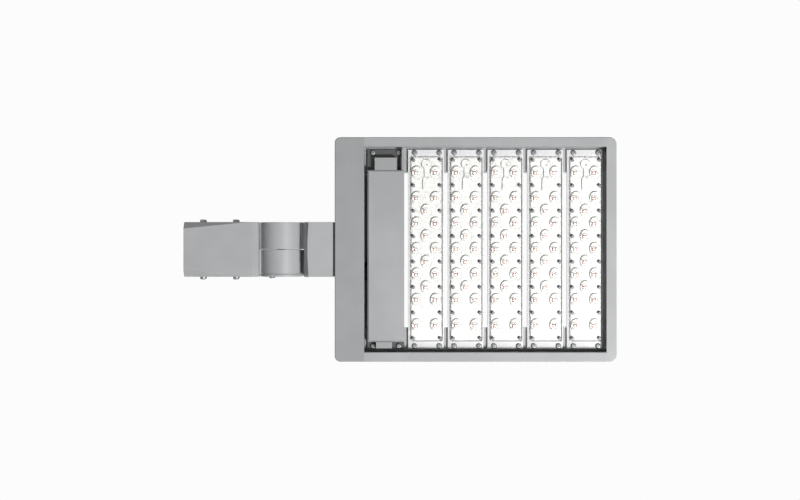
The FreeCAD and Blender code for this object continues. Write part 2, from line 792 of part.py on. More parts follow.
def slip_fitter_body():
    """Cast sleeve over the pole tenon, with the pole-side knuckle lug."""
    fitter = Piece("slip_fitter_body")
    sloped_block(fitter, as_size(0), p.fitter_length, p.fitter_top, s.fitter_slope_run,
                 s.fitter_slope_drop, 1)
    for side in (1, -1):
        for up in (1, -1):
            long_facet(fitter, side, up)
    fitter.cut("YZ", 0, s.bore_depth, Circle(0, 0, p.bore_radius))
    knuckle_lug(fitter, p.seam, p.lug_end, p.fitter_length - s.bore_end_wall / 2, p.knuckle_x)
    about_pivot = {"shift": (p.knuckle_x, 0)}
    chamber_floor = p.seam + s.chamber_depth
    fitter.cut("XZ", p.seam, chamber_floor, Circle(0, 0, s.chamber_radius), **about_pivot)
    pivot_hole = Circle(0, 0, s.pivot_thread / 2 + s.pivot_clearance)
    fitter.cut("XZ", chamber_floor, p.lug_end, pivot_hole, **about_pivot)
    nut_pocket = hexagon(0, 0, s.nut_width + 2 * s.nut_pocket_clearance)
    fitter.cut("XZ", p.lug_end - s.nut_thickness - s.nut_recess, p.lug_end, nut_pocket, **about_pivot)
    seal_groove = [Circle(0, 0, p.seal_radius + s.seal_section / 2),
                   Circle(0, 0, p.seal_radius - s.seal_section / 2)]
    fitter.cut("XZ", p.seam, p.seal_floor, *seal_groove, **about_pivot)
    fitter.cut("YZ", s.bore_depth, p.knuckle_x - s.chamber_radius / 2,
               Circle(p.wire_y, 0, s.wire_hole_diameter / 2))
    fitter.cut("YZ", s.bore_depth, s.bore_depth + s.grommet_recess,
               Circle(p.wire_y, 0, s.wire_hole_diameter / 2 + s.grommet_collar))
    cover_thread = Circle(p.knuckle_x - p.cover_screw_offset, 0,
                          s.knuckle_cover_thread / 2 + s.thread_clearance)
    fitter.cut("XZ", p.lug_end - s.knuckle_cover_screw_length, p.lug_end, cover_thread)
    clamp_holes = [Circle(x, 0, s.clamp_thread / 2 + s.thread_clearance)
                   for x in clamp_screw_places()]
    fitter.cut("XZ", -p.half_width, p.half_width, *clamp_holes)
    lock_teeth(fitter, p.seam, 1, p.knuckle_x)


def clamp_screws():
    """Screws through both sides of the fitter, their tips at the bore's wall."""
    length = p.half_width - p.bore_radius - s.clamp_tip_clearance
    screw = screw_shape("clamp_screw", s.clamp_thread, s.clamp_head, s.clamp_head_height, length,
                        s.clamp_socket)
    spots = []
    for x in clamp_screw_places():
        spots.append((x, -p.half_width, 0, TO_LEFT))
        spots.append((x, p.half_width, 0, TO_RIGHT))
    group("clamp_screws", screw, spots)


def wire_grommet():
    """Rubber bush where the supply wires leave the bore, its collar set into the bore's end."""
    bush = Piece("wire_grommet", s.bore_depth + s.grommet_recess, p.wire_y, 0)
    outer = s.wire_hole_diameter / 2
    length = s.bore_end_wall / 2
    bush.pad("YZ", 0, length, Circle(0, 0, outer), Circle(0, 0, outer - s.grommet_wall))
    bush.pad("YZ", -s.grommet_wall, 0, Circle(0, 0, outer + s.grommet_collar),
             Circle(0, 0, outer - s.grommet_wall))


def pivot_bolt():
    """Bolt on which the knuckle turns, with its head in the bracket's counterbore."""
    screw = screw_shape("pivot_screw", s.pivot_thread, s.pivot_head, s.pivot_head_height,
                        p.lug_end - s.nut_recess - p.washer_y, s.pivot_socket, domed=False)
    group("pivot_bolt", screw, [(p.knuckle_x, p.washer_y, 0, TO_LEFT)])


def pivot_washer():
    """Washer under the pivot bolt's head."""
    washer = Piece("pivot_washer", p.knuckle_x, p.washer_y, 0)
    washer.pad("XZ", 0, s.washer_thickness, Circle(0, 0, s.washer_diameter / 2),
               Circle(0, 0, s.pivot_thread / 2 + s.thread_clearance))


def pivot_nut():
    """Hexagon nut held in the pocket of the fitter's lug."""
    nut = Piece("pivot_nut", p.knuckle_x, p.lug_end - s.nut_recess, 0)
    nut.pad("XZ", -s.nut_thickness, 0, hexagon(0, 0, s.nut_width))
    nut.cut("XZ", -s.nut_thickness, 0, Circle(0, 0, s.pivot_thread / 2 + s.thread_clearance))


def knuckle_seal():
    """O-ring between the two lugs, seated in the fitter's groove."""
    ring = doc.addObject("Part::Torus", "knuckle_seal")
    ring.Label = "knuckle_seal"
    bind(ring, "Radius1", p.seal_radius)
    bind(ring, "Radius2", s.seal_section / 2)
    ring.Placement = FreeCAD.Placement(Vector(), TO_LEFT)
    bind(ring, "Placement.Base.x", p.knuckle_x)
    bind(ring, "Placement.Base.y", p.seal_floor - s.seal_section / 2)
    nodes.append(ring)


def knuckle_cover():
    """Disc over the nut at the end of the fitter's lug."""
    cover = Piece("knuckle_cover", p.knuckle_x, 0, 0)
    cover.pad("XZ", p.lug_end + s.cover_groove, p.half_width, Circle(0, 0, s.knuckle_radius))
    cover.pad("XZ", p.lug_end, p.lug_end + s.cover_groove,
              Circle(0, 0, s.knuckle_radius - s.cover_spigot_inset))
    cover.cut("XZ", p.lug_end, p.half_width,
              Circle(-p.cover_screw_offset, 0, s.knuckle_cover_thread / 2 + s.thread_clearance))


def knuckle_cover_screw():
    """Screw that holds the knuckle cover."""
    grip = p.half_width - p.lug_end
    screw = screw_shape("cover_disc_screw", s.knuckle_cover_thread, s.knuckle_cover_head,
                        s.knuckle_cover_head_height, s.knuckle_cover_screw_length + grip - s.blind_room,
                        s.knuckle_cover_socket)
    group("knuckle_cover_screw", screw,
          [(p.knuckle_x - p.cover_screw_offset, p.half_width, 0, TO_RIGHT)])


def knuckle_bracket():
    """Cast neck of the head, with the lamp-side knuckle lug."""
    neck = Piece("knuckle_bracket", p.knuckle_x, 0, 0)
    end = p.neck_end_x - p.knuckle_x
    flange = p.neck_flange_x - p.knuckle_x
    sloped_block(neck, flange, end, p.neck_top, s.neck_slope_run, s.neck_slope_drop, -1)
    knuckle_lug(neck, -p.half_width, -p.seam, end + s.neck_wall / 2, as_size(0))
    lip = box(p.neck_lip_x, end + s.neck_wall / 2, s.neck_lip_base,
              s.neck_lip_base + s.neck_lip_height)
    neck.pad("XZ", p.seam, p.half_width, lip)
    chamber_floor = -p.seam - s.chamber_depth
    neck.cut("XZ", chamber_floor, -p.seam, Circle(0, 0, s.chamber_radius))
    neck.cut("XZ", -p.half_width, chamber_floor,
             Circle(0, 0, s.pivot_thread / 2 + s.pivot_clearance))
    neck.cut("XZ", -p.half_width, s.counterbore_depth - p.half_width,
             Circle(0, 0, s.washer_diameter / 2 + s.counterbore_clearance))
    cavity = end + s.neck_wall
    neck.cut("YZ", cavity, flange, centred_box(s.neck_cavity_width, s.neck_cavity_height))
    neck.cut("YZ", s.chamber_radius / 2, cavity, Circle(-p.wire_y, 0, s.wire_hole_diameter / 2))
    threads = [Circle(y, z, s.neck_bolt_thread / 2 + s.thread_clearance)
               for y, z in neck_bolt_places()]
    neck.cut("YZ", flange - s.neck_bolt_length, flange, *threads)
    notch = box(end - s.notch_width, end, -p.half_width, s.notch_depth - p.half_width)
    neck.cut("XY", -p.neck_top, p.neck_top, notch)
    neck.cut("XZ", p.half_width - s.lock_length, p.half_width,
             Circle(end + s.lock_screw_inset, 0, s.lock_thread / 2 + s.thread_clearance))
    lock_teeth(neck, -p.seam, -1, as_size(0))


def neck_bolt_places():
    """Return the four neck bolts' places across the neck."""
    wide, high = s.neck_bolt_spacing_wide / 2, s.neck_bolt_spacing_high / 2
    return [(y, z) for y in (-wide, wide) for z in (-high, high)]


def lock_screw():
    """Small screw in the neck's side, beside the knuckle cover."""
    screw = screw_shape("lock_pin", s.lock_thread, s.lock_head, s.lock_head_height,
                        s.lock_length - s.blind_room, s.lock_socket)
    group("lock_screw", screw, [(p.neck_end_x + s.lock_screw_inset, p.half_width, 0, TO_RIGHT)])


def neck_gasket():
    """Flat gasket between the neck and the frame."""
    gasket = Piece("neck_gasket", p.neck_flange_x, 0, 0)
    holes = [Circle(y, z, s.neck_bolt_thread / 2 + s.thread_clearance) for y, z in neck_bolt_places()]
    gasket.pad("YZ", 0, s.neck_gasket_thickness,
               centred_box(s.fitter_width - 2 * s.neck_gasket_inset,
                           s.neck_height - 2 * s.neck_gasket_inset),
               centred_box(s.neck_cavity_width, s.neck_cavity_height), *holes)


def neck_bolts():
    """Bolts from inside the rear end cap into the neck."""
    reach = (s.neck_bolt_length + s.neck_gasket_thickness + s.cap_back_wall
             - s.neck_bolt_room)
    screw = screw_shape("neck_bolt", s.neck_bolt_thread, s.neck_bolt_head, s.neck_bolt_head_height,
                        reach, s.neck_bolt_socket, domed=False)
    group("neck_bolts", screw, [(p.frame_x + s.cap_back_wall, y, z, TO_FRONT)
                                for y, z in neck_bolt_places()])


def cap_outline(low, high, radius, rounded_low):
    """Return an end cap's plan, with its two outer corners rounded."""
    half = p.frame_half
    if rounded_low:
        return Outline([(low + radius, -half), (high, -half), (high, half), (low + radius, half),
                        (low, half - radius), (low, radius - half)], {3: radius, 5: radius})
    return Outline([(low, -half), (high - radius, -half), (high, radius - half),
                    (high, half - radius), (high - radius, half), (low, half)],
                   {1: radius, 3: radius})


def round_rims(cap):
    """Round an end cap's outer edges above and below."""
    top, bottom, half = p.top_z.value, p.face_z.value, p.frame_half.value
    mating_x = {0.0} if cap.body.Label == "front_end_cap" else {s.rear_cap_length.value}

    def on_rim(middle, chord):
        level = abs(middle.z - top) < 0.01 or abs(middle.z - bottom) < 0.01
        inner = abs(middle.y) < half - s.rail_width.value and abs(chord.x) > 0.01
        mating = any(abs(middle.x - x) < 0.01 for x in mating_x)
        return level and not mating and not inner

    cap.soften("Fillet", s.edge_radius, on_rim)


def cap_screw_places():
    """Return the end cap screws' places across the frame: one at each rail's two ports."""
    return [(side * p.rail_middle, z) for side in (-1, 1) for z in p.port_z]


def cap_hollow():
    """Return the section of an end cap's hollow, between its two solid corner blocks."""
    edge = p.inner_half - s.cap_wall
    return box(-edge, edge, p.face_z + s.cap_wall, p.top_z - s.cap_wall)


def rear_end_cap():
    """Cast end of the frame that carries the neck."""
    cap = Piece("rear_end_cap", p.frame_x, 0, 0)
    length = s.rear_cap_length
    cap.pad("XY", p.face_z, p.top_z, cap_outline(as_size(0), length, s.rear_corner_radius, True))
    round_rims(cap)
    cap.cut("YZ", s.cap_back_wall, length, cap_hollow())
    bolt_holes = [Circle(y, z, s.neck_bolt_thread / 2 + s.bolt_clearance)
                  for y, z in neck_bolt_places()]
    cap.cut("YZ", 0, s.cap_back_wall, Circle(0, 0, s.wire_hole_diameter), *bolt_holes)
    seats = [Circle(y, z, s.cap_screw_head / 2 + s.bolt_clearance) for y, z in cap_screw_places()]
    cap.cut("YZ", 0, length - s.cap_screw_seat, *seats)
    holes = [Circle(y, z, s.cap_screw_thread / 2 + s.thread_clearance) for y, z in cap_screw_places()]
    cap.cut("YZ", length - s.cap_screw_seat, length, *holes)


def front_end_cap():
    """Cast end of the frame away from the pole."""
    cap = Piece("front_end_cap", p.rail_end_x, 0, 0)
    length = s.front_cap_length
    cap.pad("XY", p.face_z, p.top_z, cap_outline(as_size(0), length, s.front_corner_radius, False))
    round_rims(cap)
    cap.cut("YZ", 0, length - s.cap_wall, cap_hollow())
    seats = [Circle(y, z, s.cap_screw_head / 2 + s.bolt_clearance) for y, z in cap_screw_places()]
    cap.cut("YZ", s.cap_screw_seat, length, *seats)
    holes = [Circle(y, z, s.cap_screw_thread / 2 + s.thread_clearance) for y, z in cap_screw_places()]
    cap.cut("YZ", 0, s.cap_screw_seat, *holes)


def side_rail(label, side):
    """Extruded side of the frame: a flange with a wall on its edge, a ledge and screw ports."""
    rail = Piece(label, p.rail_x, 0, 0)
    outer, inner = side * p.frame_half, side * p.inner_half
    length = p.rail_length
    lip, edge = s.rail_lip, s.edge_radius
    wall = Outline([(outer, p.face_z + edge), (outer, p.top_z - edge),
                    (side * (p.frame_half - edge), p.top_z), (inner, p.top_z),
                    (inner, p.face_z + lip), (side * (p.inner_half + lip), p.face_z),
                    (side * (p.frame_half - edge), p.face_z)],
                   {1: side * edge, 6: side * edge})
    rail.pad("YZ", 0, length, wall)
    flange = [inner + side * s.rail_wall / 2, side * p.flange_edge]
    ledge = [flange[0], inner - side * s.ledge_width]
    if side < 0:
        flange.reverse()
        ledge.reverse()
    low, high = sorted(flange, key=lambda size: size.value)
    rail.pad("YZ", 0, length, box(low, high, p.flange_z, p.flange_top))
    low, high = sorted(ledge, key=lambda size: size.value)
    rail.pad("YZ", 0, length, box(low, high, p.ledge_z - s.ledge_thickness, p.ledge_z))
    upstand = sorted([side * p.flange_edge, side * (p.flange_edge + s.upstand_thickness)],
                     key=lambda size: size.value)
    rail.pad("YZ", 0, length, box(*upstand, p.flange_top, p.ledge_z))
    hollow = sorted([side * (p.frame_half - s.rail_wall), side * (p.inner_half + s.rail_wall)],
                    key=lambda size: size.value)
    rail.cut("YZ", 0, length, box(*hollow, p.face_z + s.port_block, p.top_z - s.port_block))
    ports = [Circle(side * p.rail_middle, z, s.cap_screw_thread / 2 + s.thread_clearance)
             for z in p.port_z]
    depth = s.cap_screw_length - s.cap_screw_seat
    rail.cut("YZ", 0, depth, *ports)
    rail.cut("YZ", length - depth, length, *ports)
    holes = [Circle(x - p.rail_x, side * y, s.module_screw_thread / 2 + s.thread_clearance)
             for x, y in bar_screw_places(side)]
    rail.cut("XY", p.flange_z, p.flange_top, *holes)
    if side < 0:
        glands = [Circle(module_x(k) - p.rail_x, p.keyhole_y, s.gland_diameter / 2)
                  for k in range(count_of(s.module_count))]
        rail.cut("XY", p.flange_z, p.flange_top, *glands)
        threads = [Circle(x - p.rail_x, p.wireway_screw_y, s.small_thread / 2 + s.thread_clearance)
                   for x in wireway_screw_places()]
        rail.cut("XY", p.ledge_z - s.small_bite, p.ledge_z, *threads)
        rail.cut("XZ", *upstand, lead_gland_outline(p.driver_x - p.rail_x))


def end_cap_screws():
    """Screws through both end caps into the rails' ports."""
    screw = screw_shape("end_cap_screw", s.cap_screw_thread, s.cap_screw_head,
                        s.cap_screw_head_height, s.cap_screw_length - s.cap_screw_play,
                        s.cap_screw_socket, domed=False)
    spots = []
    for y, z in cap_screw_places():
        spots.append((p.rail_x - s.cap_screw_seat, y, z, TO_POLE))
        spots.append((p.rail_end_x + s.cap_screw_seat, y, z, TO_FRONT))
    group("end_cap_screws", screw, spots)


def module_x(number):
    """Return where a module's centre line lies, counted from the driver."""
    return p.first_module_x + number * p.pitch


def bar_screw_places(side):
    """Return the end screws of the driver tray and of every module on one side of the frame."""
    middles = [(p.driver_x, s.driver_width / 2 - s.end_screw_edge)]
    for number in range(count_of(s.module_count)):
        middles.append((module_x(number), p.end_screw_x))
    return [(x + step * offset, p.end_screw_y) for x, offset in middles for step in (-1, 1)]


def lens_screw_places():
    """Return the lens screws' places on one module."""
    rows = count_of(s.lens_row_count) + 1
    return [(side * p.lens_screw_x, (k - (rows - 1) / 2) * s.lens_row_pitch)
            for side in (-1, 1) for k in range(rows)]


def lens_places():
    """Return the lenses' centres on one module: paired rows, and single ones between the inner rows."""
    rows = count_of(s.lens_row_count)
    offset = s.lens_column_spacing / 2
    paired = [(side * offset, (k - (rows - 1) / 2) * s.lens_row_pitch)
              for k in range(rows) for side in (-1, 1)]
    single = [(as_size(0), (k - (rows - 4) / 2) * s.lens_row_pitch) for k in range(rows - 3)]
    return paired + single


def heat_sink():
    """Extruded bar that carries one circuit board, with fins between the flanges."""
    sink = Piece("heat_sink_1", module_x(0), 0, 0)
    half = p.module_half
    sink.pad("XZ", -half, half, box(p.bar_start, p.bar_end, p.base_z, p.flange_z))
    reach = p.flange_edge - s.fin_end_gap
    step = (s.module_width - 2 * s.fin_inset - s.fin_thickness) / (s.fin_count - 1)
    fins = []
    for k in range(count_of(s.fin_count)):
        edge = p.bar_start + s.fin_inset + k * step
        fins.append(box(edge, edge + s.fin_thickness, p.flange_z, p.flange_z + s.fin_height))
    sink.pad("XZ", -reach, reach, *fins)
    screw_holes = [Circle(step * p.end_screw_x, side * p.end_screw_y,
                          s.module_screw_thread / 2 + s.thread_clearance)
                   for step in (-1, 1) for side in (-1, 1)]
    wire_hole = Circle(0, p.keyhole_y, s.lead_diameter / 2 + s.lead_clearance)
    sink.cut("XY", p.base_z, p.flange_z, wire_hole, *screw_holes)
    threads = [Circle(x, y, s.lens_screw_thread / 2 + s.thread_clearance)
               for x, y in lens_screw_places()]
    sink.cut("XY", p.base_z, p.base_z + s.lens_screw_bite, *threads)


def circuit_board():
    """White circuit board of one module."""
    board = Piece("circuit_board_1", module_x(0), 0, 0)
    holes = [Circle(x, y, s.lens_screw_thread / 2 + s.lead_clearance) for x, y in lens_screw_places()]
    board.pad("XY", p.board_z, p.base_z, centred_box(p.board_width, p.board_length),
              Circle(0, p.keyhole_y, s.lead_diameter / 2 + s.lead_clearance), *holes)


def lens_gasket():
    """Silicone ring between one lens plate and its heat sink, round the circuit board."""
    gasket = Piece("lens_gasket_1", module_x(0), 0, 0)
    inner_width = s.plate_width - 2 * s.gasket_width
    inner_length = p.plate_length - 2 * s.gasket_width
    gasket.pad("XY", p.board_z, p.base_z, centred_box(s.plate_width, p.plate_length),
               centred_box(inner_width, inner_length))


def lens_plate():
    """Clear lens plate of one module, with an oval lens over each LED and the wire moulding."""
    plate = Piece("lens_plate_1", module_x(0), 0, 0)
    plate.pad("XY", p.plate_z, p.board_z, plate_outline())
    radii = (s.lens_height, s.lens_width / 2, s.lens_length / 2)
    lenses(plate, "Additive", p.plate_z, radii, as_size(0))
    keyhole(plate)
    hollow = (s.led_cavity_depth, s.led_cavity_radius, s.led_cavity_radius)
    lenses(plate, "Subtractive", p.board_z, hollow, s.led_shift)
    holes = [Circle(x, y, s.lens_screw_thread / 2 + s.thread_clearance)
             for x, y in lens_screw_places()]
    plate.cut("XY", p.plate_z, p.board_z, *holes)


def plate_outline():
    """Return the lens plate's outline with rounded corners."""
    x, y, r = s.plate_width / 2, p.plate_length / 2, s.plate_corner_radius
    corners = [(r - x, -y), (x - r, -y), (x, r - y), (x, y - r), (x - r, y), (r - x, y),
               (-x, y - r), (-x, r - y)]
    return Outline(corners, {1: r, 3: r, 5: r, 7: r})


def lenses(plate, kind, level, radii, shift):
    """Add or hollow every lens of a plate."""
    rows = s.lens_row_count
    first = -s.lens_row_pitch * (rows - 1) / 2
    paired = plate.dome(kind, -s.lens_column_spacing / 2 - shift, first, level, radii)
    plate.row([paired], s.lens_row_pitch, rows, s.lens_column_spacing)
    first = -s.lens_row_pitch * (rows - 4) / 2
    single = plate.dome(kind, -shift, first, level, radii)
    plate.row([single], s.lens_row_pitch, rows - 3)


def keyhole_outline(inset):
    """Return the wire moulding's outline, drawn in by inset."""
    y, r = p.keyhole_y, s.keyhole_radius - inset
    neck, foot = s.keyhole_neck / 2 - inset, s.keyhole_foot / 2 - inset
    rise = Size(math.sqrt(max(r.value ** 2 - neck.value ** 2, 0.01)),
                f"sqrt({(r * r - neck * neck).text})")
    top, low = y + s.keyhole_neck_end + inset / 2, y + s.keyhole_foot_start + inset / 2
    end = y + s.keyhole_end - inset
    return Outline([(neck, y + rise), (neck, top), (foot, low), (foot, end), (-foot, end),
                    (-foot, low), (-neck, top), (-neck, y + rise), (-r, y), (0, y - r), (r, y)],
                   {7: r, 8: r, 9: r, 10: r})


def keyhole(plate):
    """Add the raised, bevelled moulding over the module's wire."""
    plate.loft("Additive", [("XY", p.plate_z, keyhole_outline(as_size(0))),
                            ("XY", p.plate_z - s.keyhole_height, keyhole_outline(s.keyhole_bevel))])


def led_chips():
    """LED packages of every module, as one group."""
    width = s.led_width.value
    package = Part.makeBox(width, width, s.led_height.value,
                           Vector(-width / 2, -width / 2, -s.led_height.value))
    spots = [(module_x(k) + x - s.led_shift, y, p.board_z, UP)
             for k in range(count_of(s.module_count)) for x, y in lens_places()]
    group("led_chips", package, spots)


def lens_screws():
    """Screws that hold every lens plate."""
    length = s.plate_thickness + s.board_thickness + s.lens_screw_bite - s.lens_screw_play
    screw = screw_shape("lens_screw", s.lens_screw_thread, s.lens_screw_head,
                        s.lens_screw_head_height, length, s.lens_screw_socket)
    group("lens_screws", screw, [(module_x(k) + x, y, p.plate_z, DOWN)
                                 for k in range(count_of(s.module_count))
                                 for x, y in lens_screw_places()])


def module_screws():
    """Screws at the ends of every module and of the driver tray, up into the flanges."""
    length = s.base_thickness + s.flange_thickness - s.lens_screw_play
    screw = screw_shape("module_screw", s.module_screw_thread, s.module_screw_head,
                        s.module_screw_head_height, length, s.module_screw_socket)
    group("module_screws", screw, [(x, side * y, p.base_z, DOWN)
                                   for side in (-1, 1) for x, y in bar_screw_places(side)])


def cable_glands():
    """Grommets where the modules' leads come up through the flange."""
    gland = Piece("cable_gland", kept=False)
    hole = Circle(0, 0, s.lead_diameter / 2 + s.thread_clearance)
    gland.pad("XY", -s.flange_thickness, s.gland_collar, Circle(0, 0, s.gland_diameter / 2), hole)
    gland.pad("XY", 0, s.gland_collar, Circle(0, 0, s.gland_diameter / 2 + s.gland_brim), hole)
    group("cable_glands", gland.body.Shape, [(module_x(k), p.keyhole_y, p.flange_top, UP)
                                             for k in range(count_of(s.module_count))])


def repeat_modules():
    """Give every further module its own copies of the first module's bodies."""
    for name in ("heat_sink", "circuit_board", "lens_gasket", "lens_plate"):
        source = doc.getObject(f"{name}_1")
        for number in range(1, count_of(s.module_count)):
            clone(f"{name}_{number + 1}", source, module_x(number))


def wireway_screw_places():
    """Return the wireway screws' places along the frame."""
    span = p.rail_length - 2 * s.wireway_screw_inset
    gaps = count_of(s.wireway_screw_count) - 1
    return [p.rail_x + s.wireway_screw_inset + span * k / gaps for k in range(gaps + 1)]


def wireway_cover():
    """Sheet lid over the channel between the wired rail's wall and its upstand."""
    cover = Piece("wireway_cover", p.rail_x, 0, 0)
    holes = [Circle(x - p.rail_x, p.wireway_screw_y, s.small_thread / 2 + s.thread_clearance)
             for x in wireway_screw_places()]
    cover.pad("XY", p.ledge_z, p.ledge_z + s.wireway_sheet,
              box(s.wireway_end_gap, p.rail_length - s.wireway_end_gap,
                  s.wireway_end_gap - p.inner_half, -p.flange_edge), *holes)


def wireway_screws():
    """Screws that hold the wireway cover to the rail's ledge."""
    length = s.small_bite + s.wireway_sheet - s.lens_screw_play
    screw = screw_shape("wireway_screw", s.small_thread, s.small_head, s.small_head_height, length,
                        s.small_socket)
    group("wireway_screws", screw, [(x, p.wireway_screw_y, p.ledge_z + s.wireway_sheet, UP)
                                    for x in wireway_screw_places()])


def lead_level(number):
    """Return the height of one module's lead in the wireway."""
    return p.flange_top + s.gland_collar + s.lead_rise + s.lead_bend_radius + number * s.lead_pitch


def lead_turn_x(number):
    """Return where one module's lead turns into the driver case."""
    middle = (count_of(s.module_count) - 1) / 2
    return p.driver_x + (number - middle) * s.lead_turn_pitch


def lead_gland_outline(middle_x):
    """Return the lead gland's outline across the leads, in X and Z."""
    middle_z = (lead_level(0) + lead_level(count_of(s.module_count) - 1)) / 2
    x, z = s.lead_gland_width / 2, s.lead_gland_height / 2
    return box(middle_x - x, middle_x + x, middle_z - z, middle_z + z)


def lead_gland():
    """Rubber block that seals the leads where they enter the driver case."""
    gland = Piece("lead_gland", p.driver_x, 0, 0)
    gland.pad("XZ", p.lead_gland_y, p.terminal_y, lead_gland_outline(as_size(0)))
    holes = [Circle(lead_turn_x(k) - p.driver_x, lead_level(k), s.lead_diameter / 2 + s.thread_clearance)
             for k in range(count_of(s.module_count))]
    gland.cut("XZ", p.lead_gland_y, p.terminal_y, *holes)


def lead_route(number):
    """Return one lead's corners: up through its gland, along the wireway, into the driver case."""
    x, level, turn_x = module_x(number), lead_level(number), lead_turn_x(number)
    corners = [(x, p.keyhole_y, p.board_z), (x, p.keyhole_y, level), (turn_x, p.keyhole_y, level),
               (turn_x, p.terminal_y, level)]
    return [Vector(*(as_size(c).value for c in corner)) for corner in corners]


def rounded_wire(corners, radius):
    """Return a wire of straight runs joined by tangent arcs at its square inner corners."""
    edges = []
    start = corners[0]
    for before, corner, after in zip(corners, corners[1:], corners[2:]):
        back, ahead = (before - corner).normalize(), (after - corner).normalize()
        low, high = corner + back * radius, corner + ahead * radius
        middle = corner + (back + ahead).normalize() * radius * (math.sqrt(2) - 1)
        edges.append(Part.LineSegment(start, low).toShape())
        edges.append(Part.Arc(low, middle, high).toShape())
        start = high
    edges.append(Part.LineSegment(start, corners[-1]).toShape())
    return Part.Wire(edges)


def module_leads():
    """Leads from every module to the driver, one above the other in the wireway."""
    solids = []
    for number in range(count_of(s.module_count)):
        corners = lead_route(number)
        wire = rounded_wire(corners, s.lead_bend_radius.value)
        section = Part.Wire(Part.makeCircle(s.lead_diameter.value / 2, corners[0], Vector(0, 0, 1)))
        solids.append(wire.makePipeShell([section], True, False))
    leads = doc.addObject("Part::Feature", "module_leads")
    leads.Label = "module_leads"
    leads.Shape = Part.Compound(solids)
    leads.Placement = FreeCAD.Placement()
    nodes.append(leads)


def driver_tray():
    """Cast tray across the frame that carries the driver case above and its cover below."""
    tray = Piece("driver_tray", p.driver_x, 0, 0)
    half, width = p.module_half, s.driver_width / 2
    tray.pad("XY", p.base_z, p.flange_z, box(-width, width, -half, half))
    low = p.cover_z + s.block_rise
    wired = box(-s.block_width / 2, s.block_width / 2, s.block_inset - half, p.cover_start)
    start, middle = p.cover_end + s.block_gap, -s.plain_block_shift
    plain = box(middle - s.plain_block_width / 2, middle + s.plain_block_width / 2, start,
                start + s.plain_block_length)
    tray.pad("XY", low, p.base_z, wired, plain)
    cheek = Outline([(width - s.cheek_width, p.base_z), (width - s.cheek_land, low), (width, low),
                     (width, p.base_z)], {0: -s.cheek_radius})
    tray.pad("XZ", -half, p.cover_start, cheek)
    ends = [Circle(step * p.tray_screw_x, side * p.end_screw_y,
                   s.module_screw_thread / 2 + s.thread_clearance)
            for step in (-1, 1) for side in (-1, 1)]
    holes = [Circle(x, y, s.small_thread / 2 + s.thread_clearance) for x, y in case_screw_places()]
    tray.cut("XY", p.base_z, p.flange_z,
             centred_box(2 * p.tray_opening, 2 * p.tray_opening_half), *ends, *holes)
    tray.cut("XY", p.cover_z, p.base_z, Circle(p.tray_screw_x, -p.end_screw_y,
                                               s.module_screw_head / 2 + s.lead_clearance))


def case_screw_places():
    """Return the case screws' places about the driver unit's middle."""
    x = s.case_screw_spacing / 2
    y = p.post_start + s.case_post / 2
    return [(side * x, step * y) for side in (-1, 1) for step in (-1, 1)]


def driver_case():
    """Sheet can above the tray, with screw posts in its ends and a lip over the gap beside it."""
    case = Piece("driver_case", p.driver_x, 0, 0)
    case.pad("XY", p.case_z, p.case_z + s.case_height, case_plan(as_size(0)))
    case.soften("Fillet", s.edge_radius, case_outer_edges)
    case.cut("XY", p.case_z, p.roof_z, case_plan(s.case_wall))
    posts = [box(x - s.case_post / 2, x + s.case_post / 2, y - s.case_post / 2, y + s.case_post / 2)
             for x, y in case_screw_places()]
    case.pad("XY", p.case_z, p.case_z + s.case_screw_bite + s.case_post_end, *posts)
    lip_reach = s.driver_width / 2 + s.driver_gap - s.case_lip_gap
    case.pad("XY", p.roof_z, p.roof_z + s.case_lip_thickness,
             box(-lip_reach, s.case_wall - p.case_width / 2, -p.lip_half, p.lip_half))
    threads = [Circle(x, y, s.small_thread / 2 + s.thread_clearance) for x, y in case_screw_places()]
    case.cut("XY", p.case_z, p.case_z + s.case_screw_bite, *threads)
    case.cut("XZ", -p.case_half, s.case_wall - p.case_half, lead_gland_outline(as_size(0)))
    case.cut("YZ", -p.case_width / 2, s.case_wall - p.case_width / 2,
             Circle(s.power_gland_y, s.power_gland_z, s.power_gland_thread / 2))
    roof_threads = [Circle(x, y, s.small_thread / 2 + s.thread_clearance)
                    for x, y in supply_screw_places()]
    case.cut("XY", p.roof_z, p.roof_z + s.small_bite, *roof_threads)


def case_plan(inset):
    """Return the driver case's plan, drawn in by inset."""
    return centred_box(p.case_width - 2 * inset, 2 * (p.case_half - inset))


def case_outer_edges(middle, chord):
    """Tell whether an edge belongs to the case's top rim or its upright corners."""
    upright = abs(chord.z) > 1
    top = abs(middle.z - (p.case_z + s.case_height).value) < 0.01
    return upright or top


def case_gasket():
    """Gasket between the driver case and the tray."""
    gasket = Piece("case_gasket", p.driver_x, 0, 0)
    gasket.pad("XY", p.flange_z, p.case_z, case_plan(as_size(0)), case_plan(s.case_wall))


def case_screws():
    """Screws from below the tray into the driver case's posts."""
    length = s.base_thickness + s.case_gasket_thickness + s.case_screw_bite - s.lens_screw_play
    screw = screw_shape("case_screw", s.small_thread, s.small_head, s.small_head_height, length,
                        s.small_socket)
    group("case_screws", screw, [(p.driver_x + x, y, p.base_z, DOWN)
                                 for x, y in case_screw_places()])


def cover_plan(inset):
    """Return the driver cover's plan, drawn in by inset."""
    x = s.driver_width / 2 - inset
    return box(-x, x, p.cover_start + inset, p.cover_end - inset)


def driver_cover():
    """Bevelled cover under the driver unit."""
    cover = Piece("driver_cover", p.driver_x, 0, 0)
    cover.pad("XY", p.cover_z, p.cover_rim_z, cover_plan(as_size(0)))
    cover.soften("Chamfer", s.driver_cover_bevel,
                 lambda middle, chord: abs(middle.z - p.cover_z.value) < 0.01)
    cover.cut("XY", p.cover_z + s.driver_cover_wall, p.cover_rim_z, cover_plan(s.driver_cover_wall))


